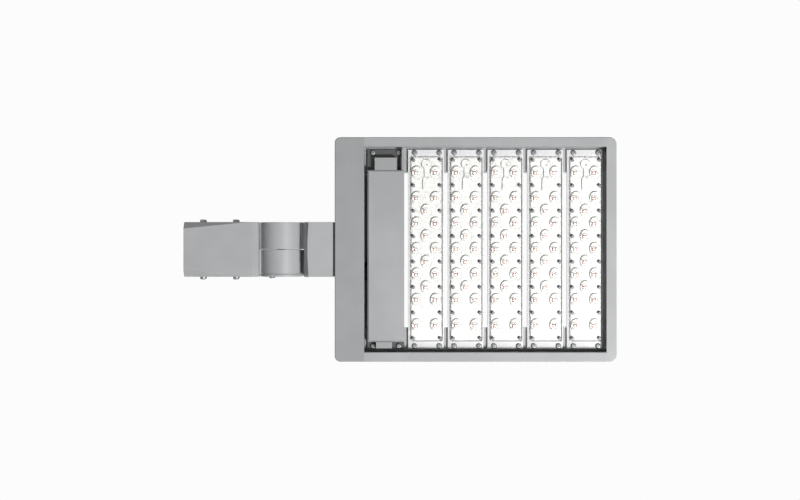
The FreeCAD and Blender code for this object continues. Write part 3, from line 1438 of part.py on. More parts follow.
def cover_gasket():
    """Gasket between the driver cover and the tray."""
    gasket = Piece("cover_gasket", p.driver_x, 0, 0)
    gasket.pad("XY", p.cover_rim_z, p.base_z, cover_plan(as_size(0)), cover_plan(s.driver_cover_wall))


def cover_clips():
    """Spring clips that stand on the driver cover and hook over the tray's opening."""
    clip = Piece("cover_clip", kept=False)
    face = p.tray_opening - s.clip_fit
    back = face - s.clip_sheet
    floor, tray_top = p.cover_z + s.driver_cover_wall, p.flange_z + s.clip_fit
    hook = face + s.clip_fit + s.clip_hook
    half = s.clip_width / 2
    clip.pad("XZ", -half, half, Outline([
        (back - s.clip_foot, floor), (face, floor), (face, tray_top), (hook, tray_top),
        (hook, tray_top + s.clip_sheet), (back, tray_top + s.clip_sheet),
        (back, floor + s.clip_sheet), (back - s.clip_foot, floor + s.clip_sheet)]))
    turned = Rotation(Vector(0, 0, 1), 180)
    group("cover_clips", clip.body.Shape, [(p.driver_x, y, 0, turn) for turn in (UP, turned)
                                           for y in (-s.clip_spacing / 2, s.clip_spacing / 2)])


def supply_screw_places():
    """Return the places of the LED driver's four screws about the driver unit's middle."""
    return [(side * p.supply_width / 4, y) for side in (-1, 1)
            for y in (p.supply_start + s.supply_ear / 2, p.supply_end - s.supply_ear / 2)]


def led_driver():
    """The LED driver: a potted case with two ears, hung from the driver case's roof."""
    supply = Piece("led_driver", p.driver_x, 0, 0)
    low, side = p.roof_z - s.supply_height, p.supply_width / 2
    supply.pad("XY", low, p.roof_z,
               box(-side, side, p.supply_start + s.supply_ear, p.supply_end - s.supply_ear))
    supply.soften("Chamfer", s.edge_radius,
                  lambda middle, chord: abs(middle.z - low.value) < 0.01 or abs(chord.z) > 1)
    ears = p.roof_z - s.supply_ear_thickness
    supply.pad("XY", ears, p.roof_z, box(-side, side, p.supply_start, p.supply_end))
    holes = [Circle(x, y, s.small_thread / 2 + s.thread_clearance)
             for x, y in supply_screw_places()]
    supply.cut("XY", ears, p.roof_z, *holes)


def driver_screws():
    """Screws that hold the LED driver's ears to the roof."""
    length = s.supply_ear_thickness + s.small_bite - s.lens_screw_play
    screw = screw_shape("driver_screw", s.small_thread, s.small_head, s.small_head_height, length,
                        s.small_socket)
    level = p.roof_z - s.supply_ear_thickness
    group("driver_screws", screw, [(p.driver_x + x, y, level, DOWN)
                                   for x, y in supply_screw_places()])


def surge_protector():
    """Surge protector beside the LED driver, on the driver case's roof."""
    block = Piece("surge_protector", p.driver_x, p.surge_y, 0)
    low = p.roof_z - s.surge_height
    block.pad("XY", low, p.roof_z, box(-s.surge_width / 2, s.surge_width / 2, 0, s.surge_length))
    block.soften("Chamfer", s.edge_radius, lambda middle, chord: abs(middle.z - low.value) < 0.01)


def terminal_block():
    """Terminal block behind the lead gland, with one wire port for each lead."""
    block = Piece("terminal_block", p.driver_x, 0, 0)
    half = s.terminal_width / 2
    middle = (lead_level(0) + lead_level(count_of(s.module_count) - 1)) / 2
    low, high = middle - s.terminal_height / 2, middle + s.terminal_height / 2
    end = p.terminal_y + s.terminal_length
    block.pad("XZ", p.terminal_y, end, box(-half, half, low, high))
    ports = [Circle(lead_turn_x(k) - p.driver_x, lead_level(k), s.lead_diameter / 2)
             for k in range(count_of(s.module_count))]
    block.cut("XZ", end - s.terminal_port_depth, end, *ports)


def power_gland():
    """Gland in the driver case's pole side for the supply cable."""
    gland = Piece("power_gland", p.driver_x, 0, 0)
    wall = -p.case_width / 2
    y, z = s.power_gland_y, s.power_gland_z
    hole = Circle(y, z, s.power_gland_hole / 2)
    barrel = s.power_gland_thread / 2
    gland.pad("YZ", wall - s.power_gland_length, wall, Circle(y, z, barrel), hole)
    gland.pad("YZ", wall - s.power_gland_length / 2, wall, hexagon(y, z, s.power_gland_nut), hole)
    gland.pad("YZ", wall, wall + s.case_wall + s.power_gland_lip,
              Circle(y, z, barrel - s.thread_clearance), hole)


def build_fitter():
    """Build what stays with the pole."""
    slip_fitter_body()
    clamp_screws()
    wire_grommet()
    pivot_bolt()
    pivot_washer()
    pivot_nut()
    knuckle_seal()
    knuckle_cover()
    knuckle_cover_screw()


def build_frame():
    """Build the neck and the frame of the head."""
    knuckle_bracket()
    lock_screw()
    neck_gasket()
    neck_bolts()
    rear_end_cap()
    front_end_cap()
    side_rail("left_side_rail", -1)
    side_rail("right_side_rail", 1)
    end_cap_screws()
    wireway_cover()
    wireway_screws()


def build_modules():
    """Build the LED modules and their leads."""
    heat_sink()
    circuit_board()
    lens_gasket()
    lens_plate()
    repeat_modules()
    led_chips()
    lens_screws()
    module_screws()
    cable_glands()
    module_leads()


def build_driver_unit():
    """Build the driver unit beside the neck."""
    driver_tray()
    driver_case()
    case_gasket()
    case_screws()
    driver_cover()
    cover_gasket()
    cover_clips()
    led_driver()
    driver_screws()
    surge_protector()
    terminal_block()
    lead_gland()
    power_gland()


def check_document():
    """Stop if any object of the document failed or any sub-part has no valid shape."""
    for thing in doc.Objects:
        if "Invalid" in thing.State or "Error" in thing.State:
            raise RuntimeError(f"{thing.Name} failed: {thing.State}")
    for node in nodes:
        if node.Shape.isNull() or not node.Shape.isValid() or not node.Shape.Solids:
            raise RuntimeError(f"{node.Label} has no valid solid")


def write_parts():
    """Write each sub-part to its own STEP file."""
    os.makedirs("parts", exist_ok=True)
    for node in nodes:
        node.Shape.exportStep(f"parts/{node.Label}.step")
        print(f"{node.Label}: {len(node.Shape.Solids)} solid(s), {node.Shape.Volume:.0f} mm3")


build_fitter()
build_frame()
build_modules()
build_driver_unit()
doc.recompute()
check_document()
write_parts()
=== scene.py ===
"""A shoebox area light, dressed: finishes, fasteners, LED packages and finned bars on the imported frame.

Everything is built in metres, in the frame of the solids. The object's sizes in this file are in
millimetres and go through mm(); the studio's are in metres.
"""
import logging
import math
from dataclasses import dataclass, field
from enum import Enum
from typing import Any

import bmesh
import bpy
from bpy.types import Material, Mesh, Node, NodeSocket, NodeTree, Object, World
from mathutils import Euler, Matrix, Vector


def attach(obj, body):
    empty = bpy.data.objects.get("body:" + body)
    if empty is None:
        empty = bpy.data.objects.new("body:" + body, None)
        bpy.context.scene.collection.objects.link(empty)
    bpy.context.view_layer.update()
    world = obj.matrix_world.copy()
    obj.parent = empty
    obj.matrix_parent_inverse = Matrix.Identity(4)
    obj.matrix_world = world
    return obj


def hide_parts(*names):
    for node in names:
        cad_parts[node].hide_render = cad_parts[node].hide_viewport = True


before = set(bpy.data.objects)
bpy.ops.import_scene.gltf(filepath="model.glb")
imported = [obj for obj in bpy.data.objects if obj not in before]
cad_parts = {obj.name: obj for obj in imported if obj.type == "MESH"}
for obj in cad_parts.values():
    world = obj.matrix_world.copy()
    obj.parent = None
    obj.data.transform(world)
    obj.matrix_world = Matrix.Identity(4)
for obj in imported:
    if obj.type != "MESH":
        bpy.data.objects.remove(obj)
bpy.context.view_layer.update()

LOG = logging.getLogger("area_light")

DRIVER_X = 279.85            # the driver unit's middle, in millimetres along the frame
FLANGE_Z = -18.0             # where the bars and the tray bear on the rails
BASE = 5.0                   # thickness of the bars' and the tray's base
NOISE_REACH = (0.3, 0.7)     # a noise stays between these almost everywhere
OCTAVE_SHARE = 0.55          # each finer octave of a noise, by the one before


def mm(length: float) -> float:
    """Turns millimetres into metres."""
    return length / 1000.0


def linear(colour: str) -> tuple[float, float, float, float]:
    """Turns an sRGB hex colour into the linear one that shaders take.

    Args:
        colour: six hex digits, such as "b4b6b8".

    Returns:
        Red, green, blue and an alpha of 1.
    """
    channels = []
    for start in (0, 2, 4):
        value = int(colour[start:start + 2], 16) / 255
        channels.append(value / 12.92 if value <= 0.04045 else ((value + 0.055) / 1.055) ** 2.4)
    return (*channels, 1.0)


def add_node(tree: NodeTree, kind: str, settings: dict[str, Any] | None = None,
             inputs: dict[str | int, Any] | None = None) -> Node:
    """Adds a node with its settings and links.

    Args:
        tree: the material's or the modifier's node tree.
        kind: the node's type name.
        settings: values for the node's own properties.
        inputs: for each input, by name or place, a value or the output socket that feeds it.

    Returns:
        The new node.
    """
    node = tree.nodes.new(kind)
    for name, value in (settings or {}).items():
        setattr(node, name, value)
    for name, value in (inputs or {}).items():
        socket = node.inputs[name]
        if isinstance(value, NodeSocket):
            tree.links.new(value, socket)
        else:
            socket.default_value = value
    return node


def reckon(tree: NodeTree, operation: str, *values: Any) -> NodeSocket:
    """Does one step of arithmetic on sockets or numbers with a math node."""
    return add_node(tree, "ShaderNodeMath", {"operation": operation},
                    dict(enumerate(values))).outputs["Value"]


def empty_tree(owner: Material | World) -> NodeTree:
    """Gives a material or a world its node tree.

    Args:
        owner: the material or the world.

    Returns:
        The tree, empty.
    """
    owner.use_nodes = True
    owner.node_tree.nodes.clear()
    return owner.node_tree


def link(piece: Object) -> None:
    """Puts an object into the scene."""
    bpy.context.scene.collection.objects.link(piece)


# ---- finishes


@dataclass(frozen=True)
class Brush:
    """Draws a finish's patterns into the material that is being built."""

    tree: NodeTree
    shader: Node                 # the principled shader
    place: NodeSocket            # the point's place on the object, in metres
    finish: "Finish"

    def feed(self, name: str, source: NodeSocket) -> None:
        """Links a value to one of the shader's inputs."""
        self.tree.links.new(source, self.shader.inputs[name])

    def mixed(self, share: NodeSocket, first: Any, second: Any) -> NodeSocket:
        """Mixes two colours, all of the second where the share is 1."""
        return add_node(self.tree, "ShaderNodeMix", {"data_type": "RGBA"},
                        {0: share, 6: first, 7: second}).outputs[2]

    def ramp(self, value: NodeSocket, start: float, end: float, low: float = 0.0,
             high: float = 1.0, kind: str = "LINEAR") -> NodeSocket:
        """Maps one range of a value onto another and holds it at the ends.

        Args:
            value: the value.
            start: where it gives low.
            end: where it gives high.
            low: the result's one end.
            high: its other end.
            kind: the interpolation between them.

        Returns:
            The result's socket.
        """
        return add_node(self.tree, "ShaderNodeMapRange", {"interpolation_type": kind}, {
            "Value": value, "From Min": start, "From Max": end, "To Min": low,
            "To Max": high}).outputs["Result"]

    def grain(self, spacing: float, stretch: tuple[float, float, float] = (1, 1, 1),
              detail: float = 2.0) -> NodeSocket:
        """Adds a noise whose bumps are about one spacing apart.

        Args:
            spacing: distance between bumps, in millimetres.
            stretch: factors on the place, below 1 to draw the grain out along that axis.
            detail: how many finer octaves it has.

        Returns:
            The noise's value, from 0 to 1.
        """
        drawn = add_node(self.tree, "ShaderNodeVectorMath", {"operation": "MULTIPLY"},
                         {0: self.place, 1: stretch}).outputs["Vector"]
        return add_node(self.tree, "ShaderNodeTexNoise", inputs={
            "Vector": drawn, "Scale": 1 / mm(spacing), "Detail": detail,
            "Roughness": OCTAVE_SHARE}).outputs["Fac"]

    def vary_tone(self, pattern: NodeSocket) -> None:
        """Runs the base colour from the finish's first tone to its second along a pattern."""
        share = self.ramp(pattern, *self.finish.turn, kind="SMOOTHSTEP")
        self.feed("Base Color", self.mixed(share, linear(self.finish.colour),
                                           linear(self.finish.second_tone)))

    def vary_gloss(self, pattern: NodeSocket) -> None:
        """Lets the roughness wander a little either side of its value."""
        middle, spread = self.finish.roughness, self.finish.spread
        self.feed("Roughness", self.ramp(pattern, *NOISE_REACH, middle - spread, middle + spread))

    def emboss(self, pattern: NodeSocket, depth: float, strength: float = 1.0) -> None:
        """Raises the surface along a pattern.

        Args:
            pattern: the height, from 0 to 1.
            depth: the full height, in millimetres.
            strength: how much of it the light sees.
        """
        bump = add_node(self.tree, "ShaderNodeBump", inputs={
            "Height": pattern, "Distance": mm(depth), "Strength": strength})
        self.feed("Normal", bump.outputs["Normal"])


@dataclass(frozen=True)
class Finish:
    """A real material and how its surface was made.

    The uniform values go straight onto the shader; each kind of finish adds its own pattern.
    """

    name: str
    colour: str
    second_tone: str             # the tone that its pattern runs to
    roughness: float
    metallic: float = 0.0
    sheen: float = 0.0
    turn: tuple[float, float] = (0.4, 0.7)   # the pattern's values where the tone turns
    spread: float = 0.05         # how far the roughness wanders each way

    def material(self) -> Material:
        """Builds the node material, or returns it where it is built already.

        Returns:
            The material, shared by every piece of this finish.
        """
        known = bpy.data.materials.get(self.name)
        if known is not None:
            return known
        material = bpy.data.materials.new(self.name)
        tree = empty_tree(material)
        shader = add_node(tree, "ShaderNodeBsdfPrincipled", inputs={
            "Base Color": linear(self.colour), "Roughness": self.roughness,
            "Metallic": self.metallic, "Sheen Weight": self.sheen})
        brush = Brush(tree, shader, add_node(tree, "ShaderNodeTexCoord").outputs["Object"], self)
        self.dress(brush)
        add_node(tree, "ShaderNodeOutputMaterial", inputs={"Surface": self.surface(brush)})
        return material

    def dress(self, brush: Brush) -> None:
        """Adds the pattern of this kind of finish."""
        raise NotImplementedError

    def surface(self, brush: Brush) -> NodeSocket:
        """Returns the output that the surface takes, the shader's own unless a finish adds to it."""
        return brush.shader.outputs["BSDF"]


@dataclass(frozen=True)
class PowderCoat(Finish):
    """Baked polyester powder with aluminium pigment: an even satin grey with a fine orange peel."""

    turn: tuple[float, float] = (0.5, 0.85)
    peel: float = 1.3            # between the peel's crests; real ones are about 0.8
    peel_depth: float = 0.02
    cloud: float = 70.0          # the coat's thickness wanders over a hand's width
    fleck: float = 0.45          # aluminium flakes, drawn coarse enough to show
    fleck_share: float = 0.35    # how much the flakes add to the clouded tone

    def dress(self, brush: Brush) -> None:
        """Adds clouded tone, flakes in the gloss and orange peel.

        Args:
            brush: what draws on the material.
        """
        cloud = brush.grain(self.cloud)
        flecks = brush.grain(self.fleck, detail=0.0)
        brush.vary_tone(reckon(brush.tree, "MULTIPLY_ADD", flecks, self.fleck_share, cloud))
        brush.vary_gloss(flecks)
        brush.emboss(brush.grain(self.peel), self.peel_depth)


@dataclass(frozen=True)
class PaintedRecessShadeCoat(PowderCoat):
    """Powder coat round a deep recess, with painted shade: a dark colour painted inside the recess, where
    shade falls.
    """

    # the dark colour of the painted shade in the recess
    recess_shade: str = "323233"
    shade_z: float = -35.5        # height from which only the painted shade is left, in millimetres
    blend: float = 3.0           # height over which the painted shade fades in below that
    middle: tuple[float, float, float] = (417.4, 0.0, 0.0)
    reach: tuple[float, float, float] = (168.0, 142.3, 50.0)   # the recess about its middle

    def dress(self, brush: Brush) -> None:
        """Adds the coat's own pattern and paints shade over it inside the recess.

        Args:
            brush: what draws on the material.
        """
        super().dress(brush)
        parts = add_node(brush.tree, "ShaderNodeSeparateXYZ", inputs={"Vector": brush.place}).outputs
        share = brush.ramp(parts["Z"], mm(self.shade_z - self.blend), mm(self.shade_z),
                           kind="SMOOTHSTEP")
        for axis, middle, reach in zip("XYZ", self.middle, self.reach):
            within = reckon(brush.tree, "COMPARE", parts[axis], mm(middle), mm(reach))
            share = reckon(brush.tree, "MULTIPLY", share, within)
        # painted shade: the coat's colour gives way to the dark colour inside the recess
        coated = brush.shader.inputs["Base Color"].links[0].from_socket
        brush.feed("Base Color", brush.mixed(share, coated, linear(self.recess_shade)))


@dataclass(frozen=True)
class ExtrudedCoat(Finish):
    """A coated extrusion: even and bright, with the die's faint lines along its length."""

    turn: tuple[float, float] = (0.35, 0.7)
    spread: float = 0.04
    line: float = 0.6            # between die lines
    line_depth: float = 0.012
    along: tuple[float, float, float] = (1.0, 0.02, 1.0)

    def dress(self, brush: Brush) -> None:
        """Adds die lines to tone, gloss and height.

        Args:
            brush: what draws on the material.
        """
        lines = brush.grain(self.line, self.along)
        brush.vary_tone(lines)
        brush.vary_gloss(lines)
        brush.emboss(lines, self.line_depth)


@dataclass(frozen=True)
class SolderMask(Finish):
    """White solder mask over copper: a smooth skin in which the tracks' edges stand up faintly."""

    turn: tuple[float, float] = (1.0, 0.0)
    spread: float = 0.03
    track: float = 7.0           # between tracks
    wander: float = 0.35         # how far the tracks stray from an even grid
    edge: tuple[float, float] = (0.03, 0.07)   # where a track's edge rises, in shares of their distance
    copper: float = 0.07         # height of the copper under the mask
    copper_seen: float = 0.5     # how much of that height the light sees
    texture: float = 3.0         # between the mask's own patches of gloss

    def dress(self, brush: Brush) -> None:
        """Adds the copper's blocks and the mask's own fine texture.

        Args:
            brush: what draws on the material.
        """
        blocks = add_node(brush.tree, "ShaderNodeTexVoronoi", {"feature": "DISTANCE_TO_EDGE"}, {
            "Vector": brush.place, "Scale": 1 / mm(self.track), "Randomness": self.wander})
        edge = brush.ramp(blocks.outputs["Distance"], *self.edge)
        brush.vary_tone(edge)
        brush.vary_gloss(brush.grain(self.texture))
        brush.emboss(edge, self.copper, self.copper_seen)


@dataclass(frozen=True)
class ClearMoulding(Finish):
    """Injection-moulded acrylic: clear and glossy, with the slow swirl that melt leaves in it."""

    index: float = 1.49
    swirl: float = 9.0
    swirl_depth: float = 0.004
    passed: float = 0.96         # share of a lamp's light that comes through a face it meets head on
    turned_away: float = 0.12    # share that comes through a face it only grazes
    slant: tuple[float, float] = (0.16, 0.55)   # how far a face turns between the two

    def dress(self, brush: Brush) -> None:
        """Makes it glass of acrylic's index and adds the swirl.

        Args:
            brush: what draws on the material.
        """
        brush.shader.inputs["Transmission Weight"].default_value = 1.0
        brush.shader.inputs["IOR"].default_value = self.index
        brush.emboss(brush.grain(self.swirl), self.swirl_depth)

    def surface(self, brush: Brush) -> NodeSocket:
        """Lets lamps light what stands behind the glass.

        Args:
            brush: what draws on the material.

        Returns:
            The mix of the glass with what a shadow ray meets.
        """
        tree = brush.tree
        facing = add_node(tree, "ShaderNodeLayerWeight", inputs={"Blend": 0.5}).outputs["Facing"]
        share = brush.ramp(facing, *self.slant, self.passed, self.turned_away)
        passing = add_node(tree, "ShaderNodeBsdfTransparent", inputs={"Color": share})
        shadow = add_node(tree, "ShaderNodeLightPath").outputs["Is Shadow Ray"]
        return add_node(tree, "ShaderNodeMixShader", inputs={
            0: shadow, 1: brush.shader.outputs["BSDF"], 2: passing.outputs["BSDF"],
        }).outputs["Shader"]


@dataclass(frozen=True)
class Moulded(Finish):
    """Moulded rubber, silicone, nylon or ceramic: matt, with the fine grain of its mould."""

    grit: float = 0.5            # the mould's grain, drawn at twice its size
    grit_depth: float = 0.02
    tone_patch: float = 14.0
    gloss_patch: float = 6.0

    def dress(self, brush: Brush) -> None:
        """Adds the mould's grain and a slow change of tone.

        Args:
            brush: what draws on the material.
        """
        brush.vary_tone(brush.grain(self.tone_patch))
        brush.vary_gloss(brush.grain(self.gloss_patch))
        brush.emboss(brush.grain(self.grit, detail=0.0), self.grit_depth)


@dataclass(frozen=True)
class BrightSteel(Finish):
    """Stainless or spring steel, drawn and tumbled: grey metal with fine scratches along Y."""

    spread: float = 0.08
    scratch: float = 0.3
    scratch_depth: float = 0.006
    along: tuple[float, float, float] = (1.0, 0.12, 1.0)
    mottle: float = 2.5

    def dress(self, brush: Brush) -> None:
        """Adds scratches to the gloss and a mottled tone.

        Args:
            brush: what draws on the material.
        """
        scratches = brush.grain(self.scratch, self.along)
        brush.vary_tone(brush.grain(self.mottle))
        brush.vary_gloss(scratches)
        brush.emboss(scratches, self.scratch_depth)


@dataclass(frozen=True)
class Phosphor(Finish):
    """Silicone filled with yellow phosphor powder, cast over the chips: matt and speckled."""

    turn: tuple[float, float] = (0.42, 0.62)
    speck: float = 0.35
    speck_depth: float = 0.03

    def dress(self, brush: Brush) -> None:
        """Adds the powder's specks.

        Args:
            brush: what draws on the material.
        """
        specks = brush.grain(self.speck, detail=1.0)
        brush.vary_tone(specks)
        brush.emboss(specks, self.speck_depth)


CAST_COAT = PowderCoat("powder_coated_die_casting", "b6b7b8", "aeafb0", 0.36)
# The rear cap's coat is the casting coat in a darker tone. This is painted shade, standing in for the
# lamps' fall-off towards the pole end, and it adds painted shade in the frame's recess as well.
REAR_COAT_PAINTED_SHADE = PaintedRecessShadeCoat("rear_casting_coat_painted_shade", "a1a2a3", "999a9b", 0.45)
FRAME_COAT = PowderCoat("powder_coated_extrusion", "aeafb0", "a6a7a8", 0.42, peel=1.1)
# These coats paint shade into the recess: the front cap's and right rail's inner walls and the tray's
# deep parts turn dark where shade falls.
FRONT_COAT_PAINTED_SHADE = PaintedRecessShadeCoat("front_casting_coat_painted_shade", "b1b2b3", "aaabac", 0.42,
                          middle=(417.4, 0.0, -24.0), reach=(168.0, 142.3, 16.0))
RIGHT_RAIL_COAT_PAINTED_SHADE = PaintedRecessShadeCoat("right_rail_coat_painted_shade", "b0b1b2", "a8a9aa", 0.42, peel=1.1,
                               middle=(417.4, 141.6, -24.0), reach=(168.0, 0.8, 16.0))
TRAY_COAT_PAINTED_SHADE = PaintedRecessShadeCoat("tray_casting_coat_painted_shade", "a6a7a8", "9e9fa0", 0.5,
                         recess_shade="4a4a4b", shade_z=-24.0, blend=5.0)
SINK_COAT = ExtrudedCoat("white_coated_extrusion", "e2e2e2", "dadada", 0.42)
BOARD_MASK = SolderMask("white_solder_mask", "f4f4f2", "e9e9e6", 0.38)
ACRYLIC = ClearMoulding("clear_acrylic", "ffffff", "ffffff", 0.03)
LED_GLOW = Phosphor("pale_phosphor", "f3ecc4", "f8f4dc", 0.5)
LED_CERAMIC = Moulded("rose_grey_ceramic", "6a4d49", "7d605c", 0.5)
SILICONE = Moulded("white_silicone", "dededc", "d2d2cf", 0.6)
BLACK_RUBBER = Moulded("black_rubber", "1d1d1e", "262627", 0.7, sheen=0.05)
BLACK_NYLON = Moulded("black_moulded_nylon", "1c1c1d", "242425", 0.5)
LEAD_JACKET = Moulded("silicone_lead_jacket", "d5d4cf", "cbcac5", 0.45)
DRIVER_SHELL = ExtrudedCoat("white_driver_enamel", "e2e2e0", "dadad8", 0.35, line=1.5)
SPRING_STEEL = BrightSteel("spring_steel_strip", "a9abae", "95979a", 0.3, metallic=1.0)
STAINLESS = BrightSteel("stainless_steel", "7b7d80", "8d8f92", 0.45, metallic=1.0)

NODE_FINISHES: dict[str, Finish] = {
    "rear_end_cap": REAR_COAT_PAINTED_SHADE, "front_end_cap": FRONT_COAT_PAINTED_SHADE, "driver_tray": TRAY_COAT_PAINTED_SHADE,
    "right_side_rail": RIGHT_RAIL_COAT_PAINTED_SHADE}
SLOT_FINISHES: dict[str, Finish] = {
    "painted_casting": CAST_COAT, "painted_frame": FRAME_COAT, "heat_sink_aluminium": SINK_COAT,
    "white_board": BOARD_MASK, "clear_lens": ACRYLIC, "led_phosphor": LED_GLOW,
    "white_silicone": SILICONE, "black_rubber": BLACK_RUBBER, "black_plastic": BLACK_NYLON,
    "lead_insulation": LEAD_JACKET, "driver_shell": DRIVER_SHELL, "spring_steel": SPRING_STEEL,
    "screw_steel": STAINLESS,
}


# ---- geometry nodes


class Facing(Enum):
    """Which way a fastener's head or an LED looks."""

    UP = (0.0, 0.0, 1.0)
    DOWN = (0.0, 0.0, -1.0)
    LEFT = (0.0, -1.0, 0.0)
    RIGHT = (0.0, 1.0, 0.0)
    POLE = (-1.0, 0.0, 0.0)
    FRONT = (1.0, 0.0, 0.0)


@dataclass(frozen=True)
class Spot:
    """Where a repeated shape stands, in millimetres, and which way it looks."""

    x: float
    y: float
    z: float
    facing: Facing = Facing.DOWN


class Recipe:
    """A Geometry Nodes tree with named inputs, run once and turned into a plain mesh."""

    def __init__(self, name: str, sizes: dict[str, float],
                 counts: dict[str, int] | None = None) -> None:
        """Opens a tree with one input for the base geometry and one for every size and count.

        Args:
            name: the tree's name.
            sizes: lengths in metres by input name.
            counts: whole numbers by input name.
        """
        self.tree = bpy.data.node_groups.new(name, "GeometryNodeTree")
        self.values: dict[str, float | int] = {**sizes, **(counts or {})}
        face = self.tree.interface
        face.new_socket("Geometry", in_out="INPUT", socket_type="NodeSocketGeometry")
        face.new_socket("Geometry", in_out="OUTPUT", socket_type="NodeSocketGeometry")
        self.sockets = {
            label: face.new_socket(label, in_out="INPUT", socket_type=(
                "NodeSocketInt" if isinstance(value, int) else "NodeSocketFloat")).identifier
            for label, value in self.values.items()}
        self.given = self.tree.nodes.new("NodeGroupInput").outputs

    def add(self, kind: str, settings: dict[str, Any] | None = None,
            inputs: dict[str | int, Any] | None = None) -> Node:
        """Adds one node to this recipe's tree, as add_node() does."""
        return add_node(self.tree, kind, settings, inputs)

    def reckon(self, operation: str, *values: Any) -> NodeSocket:
        """Does one step of arithmetic on sockets or numbers."""
        return reckon(self.tree, operation, *values)

    def times(self, first: Any, second: Any) -> NodeSocket:
        """Multiplies two sockets or numbers."""
        return self.reckon("MULTIPLY", first, second)

    def vector(self, x: Any = 0.0, y: Any = 0.0, z: Any = 0.0) -> NodeSocket:
        """Joins three numbers or sockets into a vector."""
        return self.add("ShaderNodeCombineXYZ", inputs={"X": x, "Y": y, "Z": z}).outputs["Vector"]

    def finished(self, shape: NodeSocket, finish: Finish) -> NodeSocket:
        """Gives a shape of the tree its finish."""
        return self.add("GeometryNodeSetMaterial", inputs={
            "Geometry": shape, "Material": finish.material()}).outputs["Geometry"]

    def joined(self, first: NodeSocket, second: NodeSocket) -> NodeSocket:
        """Joins two meshes of the tree.

        Args:
            first: one mesh.
            second: the other.

        Returns:
            Both in one.
        """
        join = self.add("GeometryNodeJoinGeometry")
        for part in (second, first):
            self.tree.links.new(part, join.inputs["Geometry"])
        return join.outputs["Geometry"]

    def raised(self, shape: NodeSocket, height: NodeSocket) -> NodeSocket:
        """Lifts a mesh of the tree along Z."""
        return self.add("GeometryNodeTransform", inputs={
            "Geometry": shape, "Translation": self.vector(z=height)}).outputs["Geometry"]

    def crisp(self, shape: NodeSocket, limit: float) -> NodeSocket:
        """Shades a shape smooth between its faces, and sharp where they meet at more than limit.

        Args:
            shape: the mesh.
            limit: the angle in degrees.

        Returns:
            The shaded mesh.
        """
        angle = self.add("GeometryNodeInputMeshEdgeAngle").outputs["Unsigned Angle"]
        sharp = self.add("FunctionNodeCompare", {"data_type": "FLOAT", "operation": "GREATER_THAN"},
                         {0: angle, 1: math.radians(limit)}).outputs["Result"]
        smooth = self.add("GeometryNodeSetShadeSmooth", {"domain": "FACE"},
                          {"Geometry": shape, "Shade Smooth": True}).outputs["Geometry"]
        return self.add("GeometryNodeSetShadeSmooth", {"domain": "EDGE"}, {
            "Geometry": smooth, "Selection": sharp, "Shade Smooth": False}).outputs["Geometry"]

    def run(self, name: str, shape: NodeSocket, spots: list[Spot],
            finish: Finish | None = None) -> Object:
        """Ends the tree, runs it on a mesh of spots and keeps the plain result.

        Args:
            name: the new piece's name.
            shape: what the tree makes.
            spots: where the repeated shapes stand.
            finish: the finish of the whole piece, unless its shapes have theirs already.

        Returns:
            The piece, a plain mesh at the origin.
        """
        real = self.add("GeometryNodeRealizeInstances", inputs={"Geometry": shape})
        result = real.outputs["Geometry"]
        if finish is not None:
            result = self.finished(result, finish)
        self.tree.links.new(result, self.tree.nodes.new("NodeGroupOutput").inputs["Geometry"])
        carrier = bpy.data.objects.new(f"{name}_carrier", spot_mesh(name, spots))
        link(carrier)
        modifier = carrier.modifiers.new("recipe", "NODES")
        modifier.node_group = self.tree
        for label, identifier in self.sockets.items():
            modifier[identifier] = self.values[label]
        graph = bpy.context.evaluated_depsgraph_get()
        mesh = bpy.data.meshes.new_from_object(carrier.evaluated_get(graph), depsgraph=graph)
        carrier.modifiers.remove(modifier)
        bpy.data.objects.remove(carrier)
        mesh.name = name
        piece = bpy.data.objects.new(name, mesh)
        link(piece)
        return piece


def spot_mesh(name: str, spots: list[Spot]) -> Mesh:
    """Makes the loose points that a recipe stands its shapes on.

    Args:
        name: the mesh's name.
        spots: the places and directions.

    Returns:
        A mesh of points with an "axis" attribute.
    """
    mesh = bpy.data.meshes.new(f"{name}_spots")
    mesh.from_pydata([(mm(s.x), mm(s.y), mm(s.z)) for s in spots], [], [])
    axis = mesh.attributes.new("axis", "FLOAT_VECTOR", "POINT")
    for row, spot in enumerate(spots):
        axis.data[row].vector = spot.facing.value
    return mesh


def stand_on_spots(recipe: Recipe, shape: NodeSocket) -> NodeSocket:
    """Puts a copy of a shape on every spot, its own +Z along the spot's axis.

    Args:
        recipe: the tree.
        shape: what is repeated.

    Returns:
        The instances.
    """
    axis = recipe.add("GeometryNodeInputNamedAttribute", {"data_type": "FLOAT_VECTOR"},
                      {"Name": "axis"}).outputs["Attribute"]
    turn = recipe.add("FunctionNodeAlignRotationToVector", {"axis": "Z"},
                      {"Vector": axis}).outputs["Rotation"]
    return recipe.add("GeometryNodeInstanceOnPoints", inputs={
        "Points": recipe.given["Geometry"], "Instance": shape, "Rotation": turn,
    }).outputs["Instances"]


def settle(piece: Object, body: str, node: str) -> None:
    """Lets a new piece ride on its body and stand for its CAD node.

    Args:
        piece: the finished piece.
        body: the CAD body it moves with.
        node: the CAD node it stands for.
    """
    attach(piece, body)
    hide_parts(node)
    LOG.info("%s stands for %s, %d faces", piece.name, node, len(piece.data.polygons))


